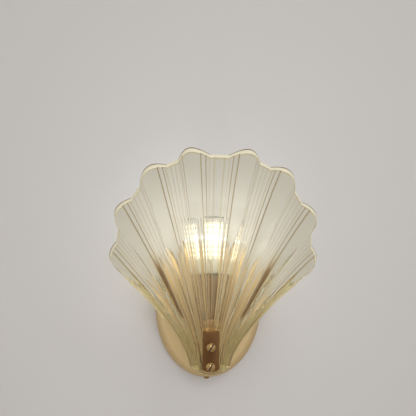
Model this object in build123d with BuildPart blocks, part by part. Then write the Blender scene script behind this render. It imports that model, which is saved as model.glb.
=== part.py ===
from build123d import *
import math
import os

# Shell wall sconce. Millimetres, +Z up, the wall is the plane Y = 0 and the room lies toward -Y.
# The origin is the centre of the oval backplate on the wall. "out" is a distance from the wall.

os.makedirs("parts", exist_ok=True)

# ---------------------------------------------------------------- driving dimensions
# Backplate: an oval pan with a rounded shoulder and a raised flat field.
PAN_WIDTH = 115.0
PAN_HEIGHT = 154.0
PAN_DEPTH = 18.0
PAN_WALL = 1.2
PAN_SHOULDER = 9.0
FIELD_INSET = 10.5
FIELD_RISE = 1.0
FIELD_SOFT = 0.5

# Wall strap behind it, with a tab at each end for the pan's two side screws.
STRAP_WIDTH = 22.0
STRAP_THICK = 1.6
STRAP_TAB = 11.0
WALL_HOLE_SPACING = 60.0
WALL_HOLE_R = 2.75
PAN_SCREW_OUT = 8.0
PAN_SCREW_R = 1.5

# Bracket arm: one strip bent into foot, shelf and tongue.
ARM_WIDTH = 16.0
ARM_THICK = 3.0
ARM_BEND = 2.5
SHELF_TOP = -3.0
FOOT_END = -47.0
TONGUE_END = -56.5
ARM_SCREW_Z = (-12.0, -40.0)
ARM_SCREW_R = 2.0

# Glass shell: a fluted fan that starts as a half tube and opens up, out and to the sides.
SHADE_BOTTOM = -59.0
SHADE_THROAT_R = 16.5
SHADE_THROAT_FRONT = 73.8
SHADE_THROAT_FALL = 12.0
SHADE_BOTTOM_RISE = 6.0
SHADE_THROAT_THICK = 7.0
SHADE_RIM_THICK = 5.5
SHADE_BEND_R = 21.0
SHADE_BEND_Z = -14.0
RIM_CENTRE_Z = 64.0
RIM_RADIUS = 97.0
RIM_TOP_OUT = 132.0
RIM_LOW_OUT = 72.0
RIM_LIP = 7.0
RIM_LIP_START = 0.86
LOBE_PITCH = 27.0
LOBES_A_SIDE = 3.75
SCALLOP_HEIGHT = 8.4
SCALLOP_FOOT = -1.7
MIDDLE_DIP = 3.4
END_DIP = 2.5
LOBE_RELIEF = 3.2
LOBE_CROWN = 0.7
BACK_RELIEF = 0.6
SEAT_THICK = 6.4

# Clamp: plate, gaskets and two screws through the glass and the tongue.
GASKET = 0.8
CLAMP_WIDTH = 16.7
CLAMP_TOP = -15.0
CLAMP_CORNER = -53.3
CLAMP_END = -56.5
CLAMP_THICK = 2.0
CLAMP_SCREW_Z = (-31.4, -51.0)
CLAMP_SCREW_R = 2.5
CLAMP_HEAD_R = 4.8
CLAMP_HEAD = 3.2
GLASS_HOLE_R = 4.0

# Lampholder on the shelf.
LAMP_OUT = 43.0
SLEEVE_R = 14.5
SLEEVE_HEIGHT = 43.0
SLEEVE_WALL = 0.8
NIPPLE_R = 5.0
NIPPLE_BORE_R = 3.5
NIPPLE_BELOW = 7.0
HOLDER_WALL = 1.6
HOLDER_BASE_HEIGHT = 14.0
SOCKET_R = 7.6
SOCKET_DEPTH = 24.0
SOCKET_SHELL = 0.4

# Lamp: screw cap, collar, column of diodes and clear cover.
CAP_R = 6.8
CAP_LENGTH = 19.0
CAP_WALL = 0.4
CAP_COLLAR = 1.0
INSULATOR = 2.0
TIP_R = 2.4
TIP = 1.2
COLLAR_R = 14.5
COLLAR_HEIGHT = 17.0
COLUMN_R = 12.0
COLUMN_SIDES = 8
COVER_R = 16.5
COVER_WALL = 1.0
LAMP_TOP = 100.0

# Wiring.
LEAD_R = 1.1
LEAD_GAP = 2.8
LEAD_HOLE_Z = -26.0
LEAD_HOLE_R = 4.5
BLOCK_TOP = -46.0
BLOCK_HEIGHT = 12.0
BLOCK_WIDTH = 24.0
BLOCK_DEPTH = 10.0
BLOCK_SCREW_R = 1.25
WAY_PITCH = 7.6
WAY_BORE_R = 1.5
WAY_SCREW_R = 1.6
LEAD_BLOCK_OUT = 7.0
EARTH_SCREW_Z = 12.0
EARTH_SCREW_X = 6.0
EARTH_SCREW_R = 1.5

# Clearances.
THREAD_FIT = 0.05
SCREW_CLEAR = 0.3
SIDE_CLEAR = 0.3
SEAT_CLEAR = 0.3
SEAT_MARGIN = 0.3

# ---------------------------------------------------------------- sizes worked out from these
pan_a = PAN_WIDTH / 2
pan_b = PAN_HEIGHT / 2
tongue_front = SHADE_THROAT_FRONT - SEAT_THICK - GASKET
tongue_back = tongue_front - ARM_THICK
foot_front = PAN_DEPTH + ARM_THICK
shelf_under = SHELF_TOP - ARM_THICK
plate_back = SHADE_THROAT_FRONT + GASKET
plate_front = plate_back + CLAMP_THICK
sleeve_top = SHELF_TOP + SLEEVE_HEIGHT
collar_foot = sleeve_top + SEAT_CLEAR
collar_top = collar_foot + COLLAR_HEIGHT
cap_top = collar_foot + CAP_COLLAR
cap_foot = cap_top - CAP_LENGTH
tip_end = cap_foot - INSULATOR - TIP
block_mid = BLOCK_TOP - BLOCK_HEIGHT / 2


def keep(shape, label):
    """Write one named sub-part to its own STEP file."""
    shape.label = label
    export_step(shape, f"parts/{label}.step")


def facing(out, z=0.0, x=0.0):
    """A sketch plane that faces the room, at a distance from the wall; extruding goes into the room."""
    return Plane(origin=(x, -out, z), x_dir=(1, 0, 0), z_dir=(0, -1, 0))


def level(z, out=0.0, x=0.0):
    """A level sketch plane at a height, centred at a distance from the wall; extruding goes up."""
    return Plane(origin=(x, -out, z), x_dir=(1, 0, 0), z_dir=(0, 0, 1))


def side_view(x=0.0):
    """The side plane: sketch x is the distance from the wall, sketch y is the height."""
    return Plane(origin=(x, 0, 0), x_dir=(0, -1, 0), z_dir=(-1, 0, 0))


def turning(out):
    """The half plane of a piece turned on an upright axis: sketch x is radius, sketch y is height."""
    return Plane(origin=(0, -out, 0), x_dir=(1, 0, 0), z_dir=(0, -1, 0))


def upright(out):
    """The upright axis of a piece turned at a distance from the wall."""
    return Axis((0, -out, 0), (0, 0, 1))


# ---------------------------------------------------------------- backplate
pan_band = PAN_DEPTH - FIELD_RISE


def pan_form(skin):
    """The pan's outer form, or with a skin greater than 0 the hollow that leaves this wall."""
    with BuildPart() as form:
        with BuildSketch(facing(0)):
            Ellipse(pan_a - skin, pan_b - skin)
        extrude(amount=pan_band - skin)
        fillet(form.faces().sort_by(Axis.Y)[0].edges(), PAN_SHOULDER - skin)
        with BuildSketch(facing(0)):
            Ellipse(pan_a - FIELD_INSET - skin, pan_b - FIELD_INSET - skin)
        extrude(amount=PAN_DEPTH - skin)
        if skin == 0:
            fillet(form.faces().sort_by(Axis.Y)[0].edges(), FIELD_SOFT)
    return form.part


with BuildPart() as backplate:
    add(pan_form(0))
    add(pan_form(PAN_WALL), mode=Mode.SUBTRACT)
    with BuildSketch(facing(0)):
        for z in ARM_SCREW_Z:
            with Locations((0, z)):
                Circle(ARM_SCREW_R + SCREW_CLEAR)
        with Locations((0, LEAD_HOLE_Z)):
            Circle(LEAD_HOLE_R)
    extrude(amount=PAN_DEPTH, mode=Mode.SUBTRACT)
    with BuildSketch(level(-pan_b, PAN_SCREW_OUT)):
        Circle(PAN_SCREW_R + SCREW_CLEAR)
    extrude(amount=PAN_HEIGHT, mode=Mode.SUBTRACT)
keep(backplate.part, "backplate")

# ---------------------------------------------------------------- wall strap
# The tabs' corners meet the inside of the oval first, so the strap's length follows from them.
corner_share = (STRAP_WIDTH / 2) / (pan_a - PAN_WALL)
strap_half = (pan_b - PAN_WALL) * math.sqrt(1 - corner_share**2) - 2 * SIDE_CLEAR

with BuildPart() as wall_strap:
    with BuildSketch(side_view()):
        with BuildLine():
            Polyline(
                (0, -strap_half),
                (STRAP_TAB, -strap_half),
                (STRAP_TAB, -strap_half + STRAP_THICK),
                (STRAP_THICK, -strap_half + STRAP_THICK),
                (STRAP_THICK, strap_half - STRAP_THICK),
                (STRAP_TAB, strap_half - STRAP_THICK),
                (STRAP_TAB, strap_half),
                (0, strap_half),
                close=True,
            )
        make_face()
    extrude(amount=STRAP_WIDTH / 2, both=True)
    with BuildSketch(facing(0)):
        for z in (-WALL_HOLE_SPACING / 2, WALL_HOLE_SPACING / 2):
            with Locations((0, z)):
                Circle(WALL_HOLE_R)
        with Locations((EARTH_SCREW_X, EARTH_SCREW_Z)):
            Circle(EARTH_SCREW_R + THREAD_FIT)
        with Locations((WAY_PITCH / 2, block_mid)):
            Circle(BLOCK_SCREW_R + THREAD_FIT)
    extrude(amount=STRAP_THICK, mode=Mode.SUBTRACT)
    with BuildSketch(level(-pan_b, PAN_SCREW_OUT)):
        Circle(PAN_SCREW_R + THREAD_FIT)
    extrude(amount=PAN_HEIGHT, mode=Mode.SUBTRACT)
keep(wall_strap.part, "wall_strap")

# ---------------------------------------------------------------- the pan's side screws
PAN_HEAD_R = 3.0
PAN_HEAD = 2.0
PAN_SCREW_LENGTH = 6.0
SLOT_WIDTH = 0.9
SLOT_DEPTH = 0.8

for side, label in ((-1, "pan_screw_bottom"), (1, "pan_screw_top")):
    seat = side * (pan_b + THREAD_FIT)
    with BuildPart() as pan_screw:
        with BuildSketch(level(seat, PAN_SCREW_OUT)):
            Circle(PAN_SCREW_R)
        extrude(amount=-side * PAN_SCREW_LENGTH)
        with BuildSketch(level(seat, PAN_SCREW_OUT)):
            Circle(PAN_HEAD_R)
        extrude(amount=side * PAN_HEAD)
        fillet(pan_screw.edges().sort_by(Axis.Z)[0 if side < 0 else -1], PAN_HEAD * 0.7)
        with BuildSketch(level(seat + side * PAN_HEAD, PAN_SCREW_OUT)):
            Rectangle(3 * PAN_HEAD_R, SLOT_WIDTH)
        extrude(amount=-side * SLOT_DEPTH, mode=Mode.SUBTRACT)
    keep(pan_screw.part, label)

# ---------------------------------------------------------------- bracket arm
with BuildPart() as bracket_arm:
    with BuildSketch(side_view()):
        with BuildLine():
            Polyline(
                (PAN_DEPTH, FOOT_END),
                (foot_front, FOOT_END),
                (foot_front, shelf_under),
                (tongue_back, shelf_under),
                (tongue_back, TONGUE_END),
                (tongue_front, TONGUE_END),
                (tongue_front, SHELF_TOP),
                (PAN_DEPTH, SHELF_TOP),
                close=True,
            )
        make_face()
    extrude(amount=ARM_WIDTH / 2, both=True)
    corners = bracket_arm.edges().filter_by(Axis.X)
    inner = corners.filter_by_position(Axis.Z, shelf_under - 0.1, shelf_under + 0.1)
    outer = corners.filter_by_position(Axis.Z, SHELF_TOP - 0.1, SHELF_TOP + 0.1)
    fillet(inner, ARM_BEND)
    fillet(outer, ARM_BEND + ARM_THICK)
    with BuildSketch(facing(PAN_DEPTH)):
        for z in ARM_SCREW_Z:
            with Locations((0, z)):
                Circle(ARM_SCREW_R + SCREW_CLEAR)
        with Locations((0, LEAD_HOLE_Z)):
            Circle(LEAD_HOLE_R)
    extrude(amount=ARM_THICK, mode=Mode.SUBTRACT)
    with BuildSketch(facing(tongue_back)):
        for z in CLAMP_SCREW_Z:
            with Locations((0, z)):
                Circle(CLAMP_SCREW_R + SCREW_CLEAR)
    extrude(amount=ARM_THICK, mode=Mode.SUBTRACT)
    with BuildSketch(level(shelf_under, LAMP_OUT)):
        Circle(NIPPLE_R + SCREW_CLEAR)
    extrude(amount=ARM_THICK, mode=Mode.SUBTRACT)
keep(bracket_arm.part, "bracket_arm")


def headed_screw(start, radius, length, head_r, head, x=0.0, z=0.0, slot_angle=0.0):
    """A slotted round-head screw lying along Y: the head's seat is at a distance from the wall."""
    with BuildPart() as screw:
        with BuildSketch(facing(start, z, x)):
            Circle(radius)
        extrude(amount=-length)
        with BuildSketch(side_view(x)):
            with BuildLine():
                Line((start, z), (start + head, z))
                ThreePointArc(
                    (start + head, z),
                    (start + head * 0.85, z + head_r * 0.6),
                    (start + head * 0.35, z + head_r),
                )
                Line((start + head * 0.35, z + head_r), (start, z + head_r))
                Line((start, z + head_r), (start, z))
            make_face()
        revolve(axis=Axis((x, 0, z), (0, -1, 0)))
        with BuildSketch(facing(start + head, z, x)):
            Rectangle(3 * head_r, SLOT_WIDTH * head_r / PAN_HEAD_R, rotation=slot_angle)
        extrude(amount=-head * 0.45, mode=Mode.SUBTRACT)
    return screw.part


def hex_nut(start, bore_r, across, thick, z=0.0):
    """A hexagon nut lying along Y, its face nearer the wall at a distance from it."""
    with BuildPart() as nut:
        with BuildSketch(facing(start, z)):
            RegularPolygon(across / 2, 6, major_radius=False)
            Circle(bore_r, mode=Mode.SUBTRACT)
        extrude(amount=thick)
    return nut.part


# ---------------------------------------------------------------- arm screws and nuts
ARM_HEAD_R = 3.6
ARM_HEAD = 2.4
ARM_NUT_ACROSS = 7.0
ARM_NUT = 2.4

for z, label in zip(ARM_SCREW_Z, ("upper", "lower")):
    shank = foot_front - PAN_DEPTH + PAN_WALL + ARM_NUT + 1.0
    keep(
        headed_screw(foot_front, ARM_SCREW_R, shank, ARM_HEAD_R, ARM_HEAD, z=z),
        f"arm_screw_{label}",
    )
    nut_out = PAN_DEPTH - PAN_WALL - ARM_NUT
    keep(
        hex_nut(nut_out, ARM_SCREW_R + THREAD_FIT, ARM_NUT_ACROSS, ARM_NUT, z=z),
        f"arm_nut_{label}",
    )

# ---------------------------------------------------------------- lead bushing in foot and pan
BUSH_WALL = 1.0
BUSH_FLANGE_R = 6.2
BUSH_FLANGE = 1.0

with BuildPart() as lead_bushing:
    with BuildSketch(facing(PAN_DEPTH - PAN_WALL, LEAD_HOLE_Z)):
        Circle(LEAD_HOLE_R - THREAD_FIT)
    extrude(amount=PAN_WALL + ARM_THICK)
    with BuildSketch(facing(foot_front, LEAD_HOLE_Z)):
        Circle(BUSH_FLANGE_R)
    extrude(amount=BUSH_FLANGE)
    with BuildSketch(facing(0, LEAD_HOLE_Z)):
        Circle(LEAD_HOLE_R - BUSH_WALL)
    extrude(amount=PAN_DEPTH + 2 * ARM_THICK, mode=Mode.SUBTRACT)
keep(lead_bushing.part, "lead_bushing")

# ---------------------------------------------------------------- threaded nipple and its nut
NIPPLE_ABOVE = 5.5
NIPPLE_NUT_ACROSS = 14.0
NIPPLE_NUT = 3.0

with BuildPart() as nipple:
    with BuildSketch(level(shelf_under - NIPPLE_BELOW, LAMP_OUT)):
        Circle(NIPPLE_R)
        Circle(NIPPLE_BORE_R, mode=Mode.SUBTRACT)
    extrude(amount=NIPPLE_BELOW + ARM_THICK + NIPPLE_ABOVE)
    chamfer(nipple.faces().filter_by(GeomType.CYLINDER).sort_by(SortBy.AREA)[-1].edges(), 0.5)
keep(nipple.part, "threaded_nipple")

with BuildPart() as nipple_nut:
    with BuildSketch(level(shelf_under - NIPPLE_NUT, LAMP_OUT)):
        RegularPolygon(NIPPLE_NUT_ACROSS / 2, 6, major_radius=False)
        Circle(NIPPLE_R + THREAD_FIT, mode=Mode.SUBTRACT)
    extrude(amount=NIPPLE_NUT)
keep(nipple_nut.part, "nipple_nut")

# ---------------------------------------------------------------- lampholder
sleeve_in = SLEEVE_R - SLEEVE_WALL
holder_r = sleeve_in - SIDE_CLEAR
holder_foot = SHELF_TOP + SLEEVE_WALL
holder_split = holder_foot + HOLDER_BASE_HEIGHT
BASE_FLOOR = 5.0
holder_top = sleeve_top - 2.0

with BuildPart() as holder_sleeve:
    with BuildSketch(turning(LAMP_OUT)):
        with BuildLine():
            Polyline(
                (NIPPLE_R + SCREW_CLEAR, SHELF_TOP),
                (SLEEVE_R, SHELF_TOP),
                (SLEEVE_R, sleeve_top),
                (sleeve_in, sleeve_top),
                (sleeve_in, SHELF_TOP + SLEEVE_WALL),
                (NIPPLE_R + SCREW_CLEAR, SHELF_TOP + SLEEVE_WALL),
                close=True,
            )
        make_face()
    revolve(axis=upright(LAMP_OUT))
keep(holder_sleeve.part, "holder_sleeve")

with BuildPart() as holder_base:
    with BuildSketch(turning(LAMP_OUT)):
        with BuildLine():
            Polyline(
                (NIPPLE_R + THREAD_FIT, holder_foot),
                (holder_r, holder_foot),
                (holder_r, holder_split),
                (holder_r - HOLDER_WALL, holder_split),
                (holder_r - HOLDER_WALL, holder_foot + BASE_FLOOR),
                (NIPPLE_R + THREAD_FIT, holder_foot + BASE_FLOOR),
                close=True,
            )
        make_face()
    revolve(axis=upright(LAMP_OUT))
keep(holder_base.part, "holder_base")

contact_r = SOCKET_R + SOCKET_SHELL
body_bore = contact_r + THREAD_FIT
socket_floor = holder_top - SOCKET_DEPTH
RIVET_R = 1.5
RIVET_TAIL = 1.0
SHELL_RIVET_X = 5.0
SHELL_RIVET_R = 1.2
SHELL_TAB = 4.0

with BuildPart() as holder_body:
    with BuildSketch(turning(LAMP_OUT)):
        with BuildLine():
            Polyline(
                (RIVET_R + THREAD_FIT, holder_split),
                (holder_r, holder_split),
                (holder_r, holder_top),
                (body_bore, holder_top),
                (body_bore, socket_floor),
                (RIVET_R + THREAD_FIT, socket_floor),
                close=True,
            )
        make_face()
    revolve(axis=upright(LAMP_OUT))
    fillet(holder_body.edges().group_by(Axis.Z)[-1].sort_by(SortBy.RADIUS)[-1], 1.5)
    with BuildSketch(level(holder_split, LAMP_OUT, SHELL_RIVET_X)):
        Circle(SHELL_RIVET_R + THREAD_FIT)
    extrude(amount=socket_floor - holder_split, mode=Mode.SUBTRACT)
keep(holder_body.part, "holder_body")

# The socket's screw shell, with a tab on the floor that is riveted through it.
shell_top = holder_top - 1.0
with BuildPart() as contact_shell:
    with BuildSketch(level(socket_floor, LAMP_OUT)):
        Circle(contact_r)
        Circle(SOCKET_R, mode=Mode.SUBTRACT)
    extrude(amount=shell_top - socket_floor)
    with BuildSketch(level(socket_floor, LAMP_OUT, SHELL_RIVET_X)):
        Rectangle(2 * (SOCKET_R - SHELL_RIVET_X), SHELL_TAB)
    extrude(amount=SOCKET_SHELL)
    with BuildSketch(level(holder_split - RIVET_TAIL, LAMP_OUT, SHELL_RIVET_X)):
        Circle(SHELL_RIVET_R)
    extrude(amount=socket_floor + SOCKET_SHELL - holder_split + RIVET_TAIL)
keep(contact_shell.part, "contact_shell")

# Centre contact: a rivet through the floor that carries a bent spring leaf.
LEAF_WIDTH = 4.0
LEAF_THICK = 0.5
LEAF_REACH = 5.0
leaf_lift = tip_end - SEAT_CLEAR - LEAF_THICK - socket_floor

with BuildPart() as centre_contact:
    with BuildSketch(level(holder_split - RIVET_TAIL, LAMP_OUT)):
        Circle(RIVET_R)
    extrude(amount=socket_floor + LEAF_THICK - holder_split + RIVET_TAIL)
    with BuildSketch(side_view()):
        with BuildLine():
            Polyline(
                (LAMP_OUT - LEAF_REACH, socket_floor),
                (LAMP_OUT + LEAF_REACH, socket_floor),
                (LAMP_OUT + LEAF_REACH, socket_floor + leaf_lift),
                (LAMP_OUT - 1.0, socket_floor + leaf_lift + LEAF_THICK),
                (LAMP_OUT - 1.0, socket_floor + leaf_lift),
                (LAMP_OUT + LEAF_REACH - LEAF_THICK, socket_floor + leaf_lift - LEAF_THICK),
                (LAMP_OUT + LEAF_REACH - LEAF_THICK, socket_floor + LEAF_THICK),
                (LAMP_OUT - LEAF_REACH, socket_floor + LEAF_THICK),
                close=True,
            )
        make_face()
    extrude(amount=LEAF_WIDTH / 2, both=True)
keep(centre_contact.part, "centre_contact")

# ---------------------------------------------------------------- lamp
with BuildPart() as lamp_cap:
    with BuildSketch(turning(LAMP_OUT)):
        with BuildLine():
            Polyline(
                (CAP_R - CAP_WALL, cap_foot),
                (CAP_R, cap_foot + CAP_WALL),
                (CAP_R, cap_top),
                (CAP_R - CAP_WALL, cap_top),
                close=True,
            )
        make_face()
    revolve(axis=upright(LAMP_OUT))
keep(lamp_cap.part, "lamp_cap")

with BuildPart() as lamp_insulator:
    with BuildSketch(turning(LAMP_OUT)):
        with BuildLine():
            Polyline(
                (0, cap_foot - INSULATOR),
                (TIP_R, cap_foot - INSULATOR),
                (CAP_R - CAP_WALL, cap_foot),
                (CAP_R - CAP_WALL, cap_foot + INSULATOR),
                (0, cap_foot + INSULATOR),
                close=True,
            )
        make_face()
    revolve(axis=upright(LAMP_OUT))
keep(lamp_insulator.part, "lamp_insulator")

with BuildPart() as lamp_tip:
    with BuildSketch(level(cap_foot - INSULATOR, LAMP_OUT)):
        Circle(TIP_R)
    extrude(amount=-TIP)
    fillet(lamp_tip.edges().sort_by(Axis.Z)[0], TIP * 0.8)
keep(lamp_tip.part, "lamp_tip")

FIN_COUNT = 20
FIN_WIDTH = 1.6
FIN_DEPTH = 1.2
FIN_FOOT = 4.0
FIN_TOP_GAP = 2.4
NECK = 4.0
COLLAR_BEVEL = 1.5
COLLAR_BEVEL_RISE = 2.5

with BuildPart() as lamp_collar:
    with BuildSketch(turning(LAMP_OUT)):
        with BuildLine():
            Polyline(
                (0, collar_foot - NECK),
                (CAP_R - CAP_WALL, collar_foot - NECK),
                (CAP_R - CAP_WALL, cap_top),
                (COLLAR_R - COLLAR_BEVEL, cap_top),
                (COLLAR_R, cap_top + COLLAR_BEVEL_RISE),
                (COLLAR_R, collar_top),
                (0, collar_top),
                close=True,
            )
        make_face()
    revolve(axis=upright(LAMP_OUT))
    with BuildSketch(level(cap_top + FIN_FOOT, LAMP_OUT)):
        with PolarLocations(COLLAR_R, FIN_COUNT):
            Rectangle(2 * FIN_DEPTH, FIN_WIDTH)
    extrude(amount=collar_top - cap_top - FIN_FOOT - FIN_TOP_GAP, mode=Mode.SUBTRACT)
keep(lamp_collar.part, "lamp_collar")

COLUMN_GAP = 5.0
column_top = LAMP_TOP - COVER_WALL - COLUMN_GAP

with BuildPart() as lamp_column:
    with BuildSketch(level(collar_top, LAMP_OUT)):
        RegularPolygon(COLUMN_R, COLUMN_SIDES)
    extrude(amount=column_top - collar_top)
    chamfer(lamp_column.faces().sort_by(Axis.Z)[-1].edges(), 1.0)
keep(lamp_column.part, "lamp_column")

COVER_SHOULDER = 6.0
COVER_FOOT = 1.5
COVER_FOOT_LAND = 1.0

with BuildPart() as cover_hollow:
    with BuildSketch(level(collar_top + COVER_FOOT, LAMP_OUT)):
        Circle(COVER_R - COVER_WALL)
    extrude(amount=LAMP_TOP - COVER_WALL - collar_top - COVER_FOOT)
    fillet(cover_hollow.edges().sort_by(Axis.Z)[-1], COVER_SHOULDER - COVER_WALL)

with BuildPart() as lamp_cover:
    with BuildSketch(level(collar_top, LAMP_OUT)):
        Circle(COVER_R)
    extrude(amount=LAMP_TOP - collar_top)
    fillet(lamp_cover.edges().sort_by(Axis.Z)[-1], COVER_SHOULDER)
    add(cover_hollow.part, mode=Mode.SUBTRACT)
    with BuildSketch(level(collar_top, LAMP_OUT)):
        Circle(COLLAR_R - COVER_FOOT_LAND)
    extrude(amount=COVER_FOOT, mode=Mode.SUBTRACT)
keep(lamp_cover.part, "lamp_cover")

# ---------------------------------------------------------------- fluted glass shell
# A point of the shell is given by "across", counted in lobes from the middle, and "up", which runs
# from 0 at the bottom of the throat to 1 at the rim. Each flute runs straight up the throat behind the
# clamp, then bends out through one control point and ends on a circle tilted forward at the top.
rim_end = math.radians(LOBE_PITCH * LOBES_A_SIDE)
rim_top_z = RIM_CENTRE_Z + RIM_RADIUS
rim_low_z = RIM_CENTRE_Z + RIM_RADIUS * math.cos(rim_end)
throat_mid = SHADE_THROAT_FRONT - SHADE_THROAT_THICK / 2
CENTRE_SPREAD = 3.0
SPREAD_REACH = 1.1
THROAT_GROWTH = 0.2
DOME_FOOT = 0.3
LOBE_FOOT = 0.38
LOBE_EDGE = 0.62
MIDDLE_REACH = 0.75
END_REACH = 0.6
FLARE_START = 0.26
FLARE_FULL = 0.52
SECTIONS = 15
POINTS_A_LOBE = 12


def ease(value, start, stop):
    """A smooth step from 0 to 1 between two values."""
    part = min(max((value - start) / (stop - start), 0.0), 1.0)
    return part * part * (3 - 2 * part)


def lobe_phase(across):
    """0 in the middle of a valley, 1 on the middle of a lobe."""
    return 1 - 2 * abs(abs(across) % 1.0 - 0.5)


def relief(across):
    """How far a lobe has risen out of its valleys, 0 to 1."""
    return ease(lobe_phase(across), LOBE_FOOT, LOBE_EDGE)


def crown(across):
    """The rounding of a lobe's top, 0 at its edges and 1 on its middle."""
    return math.sin(math.pi / 2 * max((lobe_phase(across) - LOBE_EDGE) / (1 - LOBE_EDGE), 0.0))


def scallop(across):
    """How far the rim is drawn out: flat over the valleys, a dome over each lobe."""
    dome = math.sin(math.pi / 2 * max((lobe_phase(across) - DOME_FOOT) / (1 - DOME_FOOT), 0.0))
    middle = math.exp(-((across / MIDDLE_REACH) ** 2))
    end = ease(abs(across), LOBES_A_SIDE - END_REACH, LOBES_A_SIDE)
    return SCALLOP_FOOT + SCALLOP_HEIGHT * dome - MIDDLE_DIP * middle - END_DIP * end


def skeleton(across, up, drawn_out):
    """A point midway in the glass before its flutes: x, distance from the wall, height."""
    share = across / LOBES_A_SIDE
    spread = CENTRE_SPREAD * math.sin(math.pi * across) * math.exp(-((across / SPREAD_REACH) ** 2))
    turn = math.radians(LOBE_PITCH * across + spread)
    radius = RIM_RADIUS + drawn_out
    rim_x = radius * math.sin(turn)
    rim_z = RIM_CENTRE_Z + radius * math.cos(turn)
    start_z = SHADE_BOTTOM + SHADE_BOTTOM_RISE * share**2
    first = (1 - up) ** 2
    second = 2 * up * (1 - up)
    x = first * SHADE_THROAT_R * share + second * SHADE_BEND_R * share + up**2 * rim_x
    z = first * start_z + second * SHADE_BEND_Z + up**2 * rim_z
    slope = (RIM_TOP_OUT - RIM_LOW_OUT) / (rim_top_z - rim_low_z)
    throat_out = throat_mid - SHADE_THROAT_FALL * share**4
    rim_out = RIM_LOW_OUT + slope * (rim_z - rim_low_z)
    flare = up**2 * ease(up, FLARE_START, FLARE_FULL)
    curl = max((up - RIM_LIP_START) / (1 - RIM_LIP_START), 0.0)
    out = (1 - flare) * throat_out + flare * rim_out + RIM_LIP * curl**2
    return Vector(x, -out, z)


def shell_point(across, up, face):
    """A point on the front (face = 1) or back (face = -1) surface of the glass."""
    nudge = 0.01
    along_rim = skeleton(across + nudge, up, 0) - skeleton(across - nudge, up, 0)
    low = max(up - nudge, 0.0)
    high = min(up + nudge, 1.0)
    upward = skeleton(across, high, 0) - skeleton(across, low, 0)
    outward = along_rim.cross(upward).normalized()
    growth = THROAT_GROWTH + (1 - THROAT_GROWTH) * up
    thick = SHADE_THROAT_THICK + (SHADE_RIM_THICK - SHADE_THROAT_THICK) * up
    if face > 0:
        raised = LOBE_RELIEF * relief(across) + LOBE_CROWN * crown(across)
    else:
        raised = BACK_RELIEF * relief(across)
    return skeleton(across, up, scallop(across)) + outward * (growth * raised + face * thick / 2)


def shell_surface(face):
    """The front or the back of the glass, lofted through curves that run across it."""
    count = round(2 * LOBES_A_SIDE * POINTS_A_LOBE)
    curves = []
    for j in range(SECTIONS):
        up = j / (SECTIONS - 1)
        points = [shell_point(2 * LOBES_A_SIDE * (i / count - 0.5), up, face) for i in range(count + 1)]
        curves.append(Wire([Edge.make_spline(points)]))
    return Shell.make_loft(curves).face()


shell_front = shell_surface(1)
shell_back = shell_surface(-1)
shell_faces = [shell_front, shell_back]
for edge in shell_front.edges():
    opposite = min(shell_back.edges(), key=lambda other: (other.center() - edge.center()).length)
    shell_faces.append(Face.make_surface_from_curves(edge, opposite))

# The clamp needs a flat on the front of the glass and one behind it, and two holes through.
seat_top = CLAMP_TOP + SEAT_MARGIN
seat_out = SHADE_THROAT_FRONT - SEAT_THICK
SEAT_BACK_MARGIN = 1.5
CUT_REACH = 12.0

with BuildPart() as shell_shade:
    add(Solid(Shell(shell_faces)))
    with BuildSketch(facing(SHADE_THROAT_FRONT, (seat_top + SHADE_BOTTOM) / 2)):
        Rectangle(CLAMP_WIDTH + 2 * SEAT_MARGIN, seat_top - SHADE_BOTTOM)
    extrude(amount=CUT_REACH, mode=Mode.SUBTRACT)
    with BuildSketch(facing(seat_out, (SHELF_TOP + SHADE_BOTTOM) / 2 - 1)):
        Rectangle(ARM_WIDTH + 2 * SEAT_BACK_MARGIN, SHELF_TOP - SHADE_BOTTOM + 2)
    extrude(amount=-CUT_REACH, mode=Mode.SUBTRACT)
    with BuildSketch(facing(tongue_back)):
        for z in CLAMP_SCREW_Z:
            with Locations((0, z)):
                Circle(GLASS_HOLE_R)
    extrude(amount=3 * CUT_REACH, mode=Mode.SUBTRACT)
keep(shell_shade.part, "shell_shade")

# ---------------------------------------------------------------- clamp plate, gaskets, sleeves
with BuildPart() as clamp_plate:
    with BuildSketch(facing(plate_back)):
        with BuildLine():
            half = CLAMP_WIDTH / 2
            Line((-half, CLAMP_CORNER), (-half, CLAMP_TOP))
            Line((-half, CLAMP_TOP), (half, CLAMP_TOP))
            Line((half, CLAMP_TOP), (half, CLAMP_CORNER))
            ThreePointArc((half, CLAMP_CORNER), (0, CLAMP_END), (-half, CLAMP_CORNER))
        make_face()
        for z in CLAMP_SCREW_Z:
            with Locations((0, z)):
                Circle(CLAMP_SCREW_R + SCREW_CLEAR, mode=Mode.SUBTRACT)
    extrude(amount=CLAMP_THICK)
    chamfer(clamp_plate.faces().sort_by(Axis.Y)[0].outer_wire().edges(), 0.3)
keep(clamp_plate.part, "clamp_plate")

GASKET_INSET = 0.4
for start, top, label in (
    (SHADE_THROAT_FRONT, CLAMP_TOP - GASKET_INSET, "front_gasket"),
    (tongue_front, CLAMP_TOP, "rear_gasket"),
):
    with BuildPart() as gasket:
        with BuildSketch(facing(start)):
            with BuildLine():
                half = ARM_WIDTH / 2 - GASKET_INSET
                Line((-half, CLAMP_CORNER), (-half, top))
                Line((-half, top), (half, top))
                Line((half, top), (half, CLAMP_CORNER))
                ThreePointArc(
                    (half, CLAMP_CORNER),
                    (0, CLAMP_END + GASKET_INSET),
                    (-half, CLAMP_CORNER),
                )
            make_face()
            for z in CLAMP_SCREW_Z:
                with Locations((0, z)):
                    Circle(CLAMP_SCREW_R + SCREW_CLEAR, mode=Mode.SUBTRACT)
        extrude(amount=GASKET)
    keep(gasket.part, label)

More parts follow.
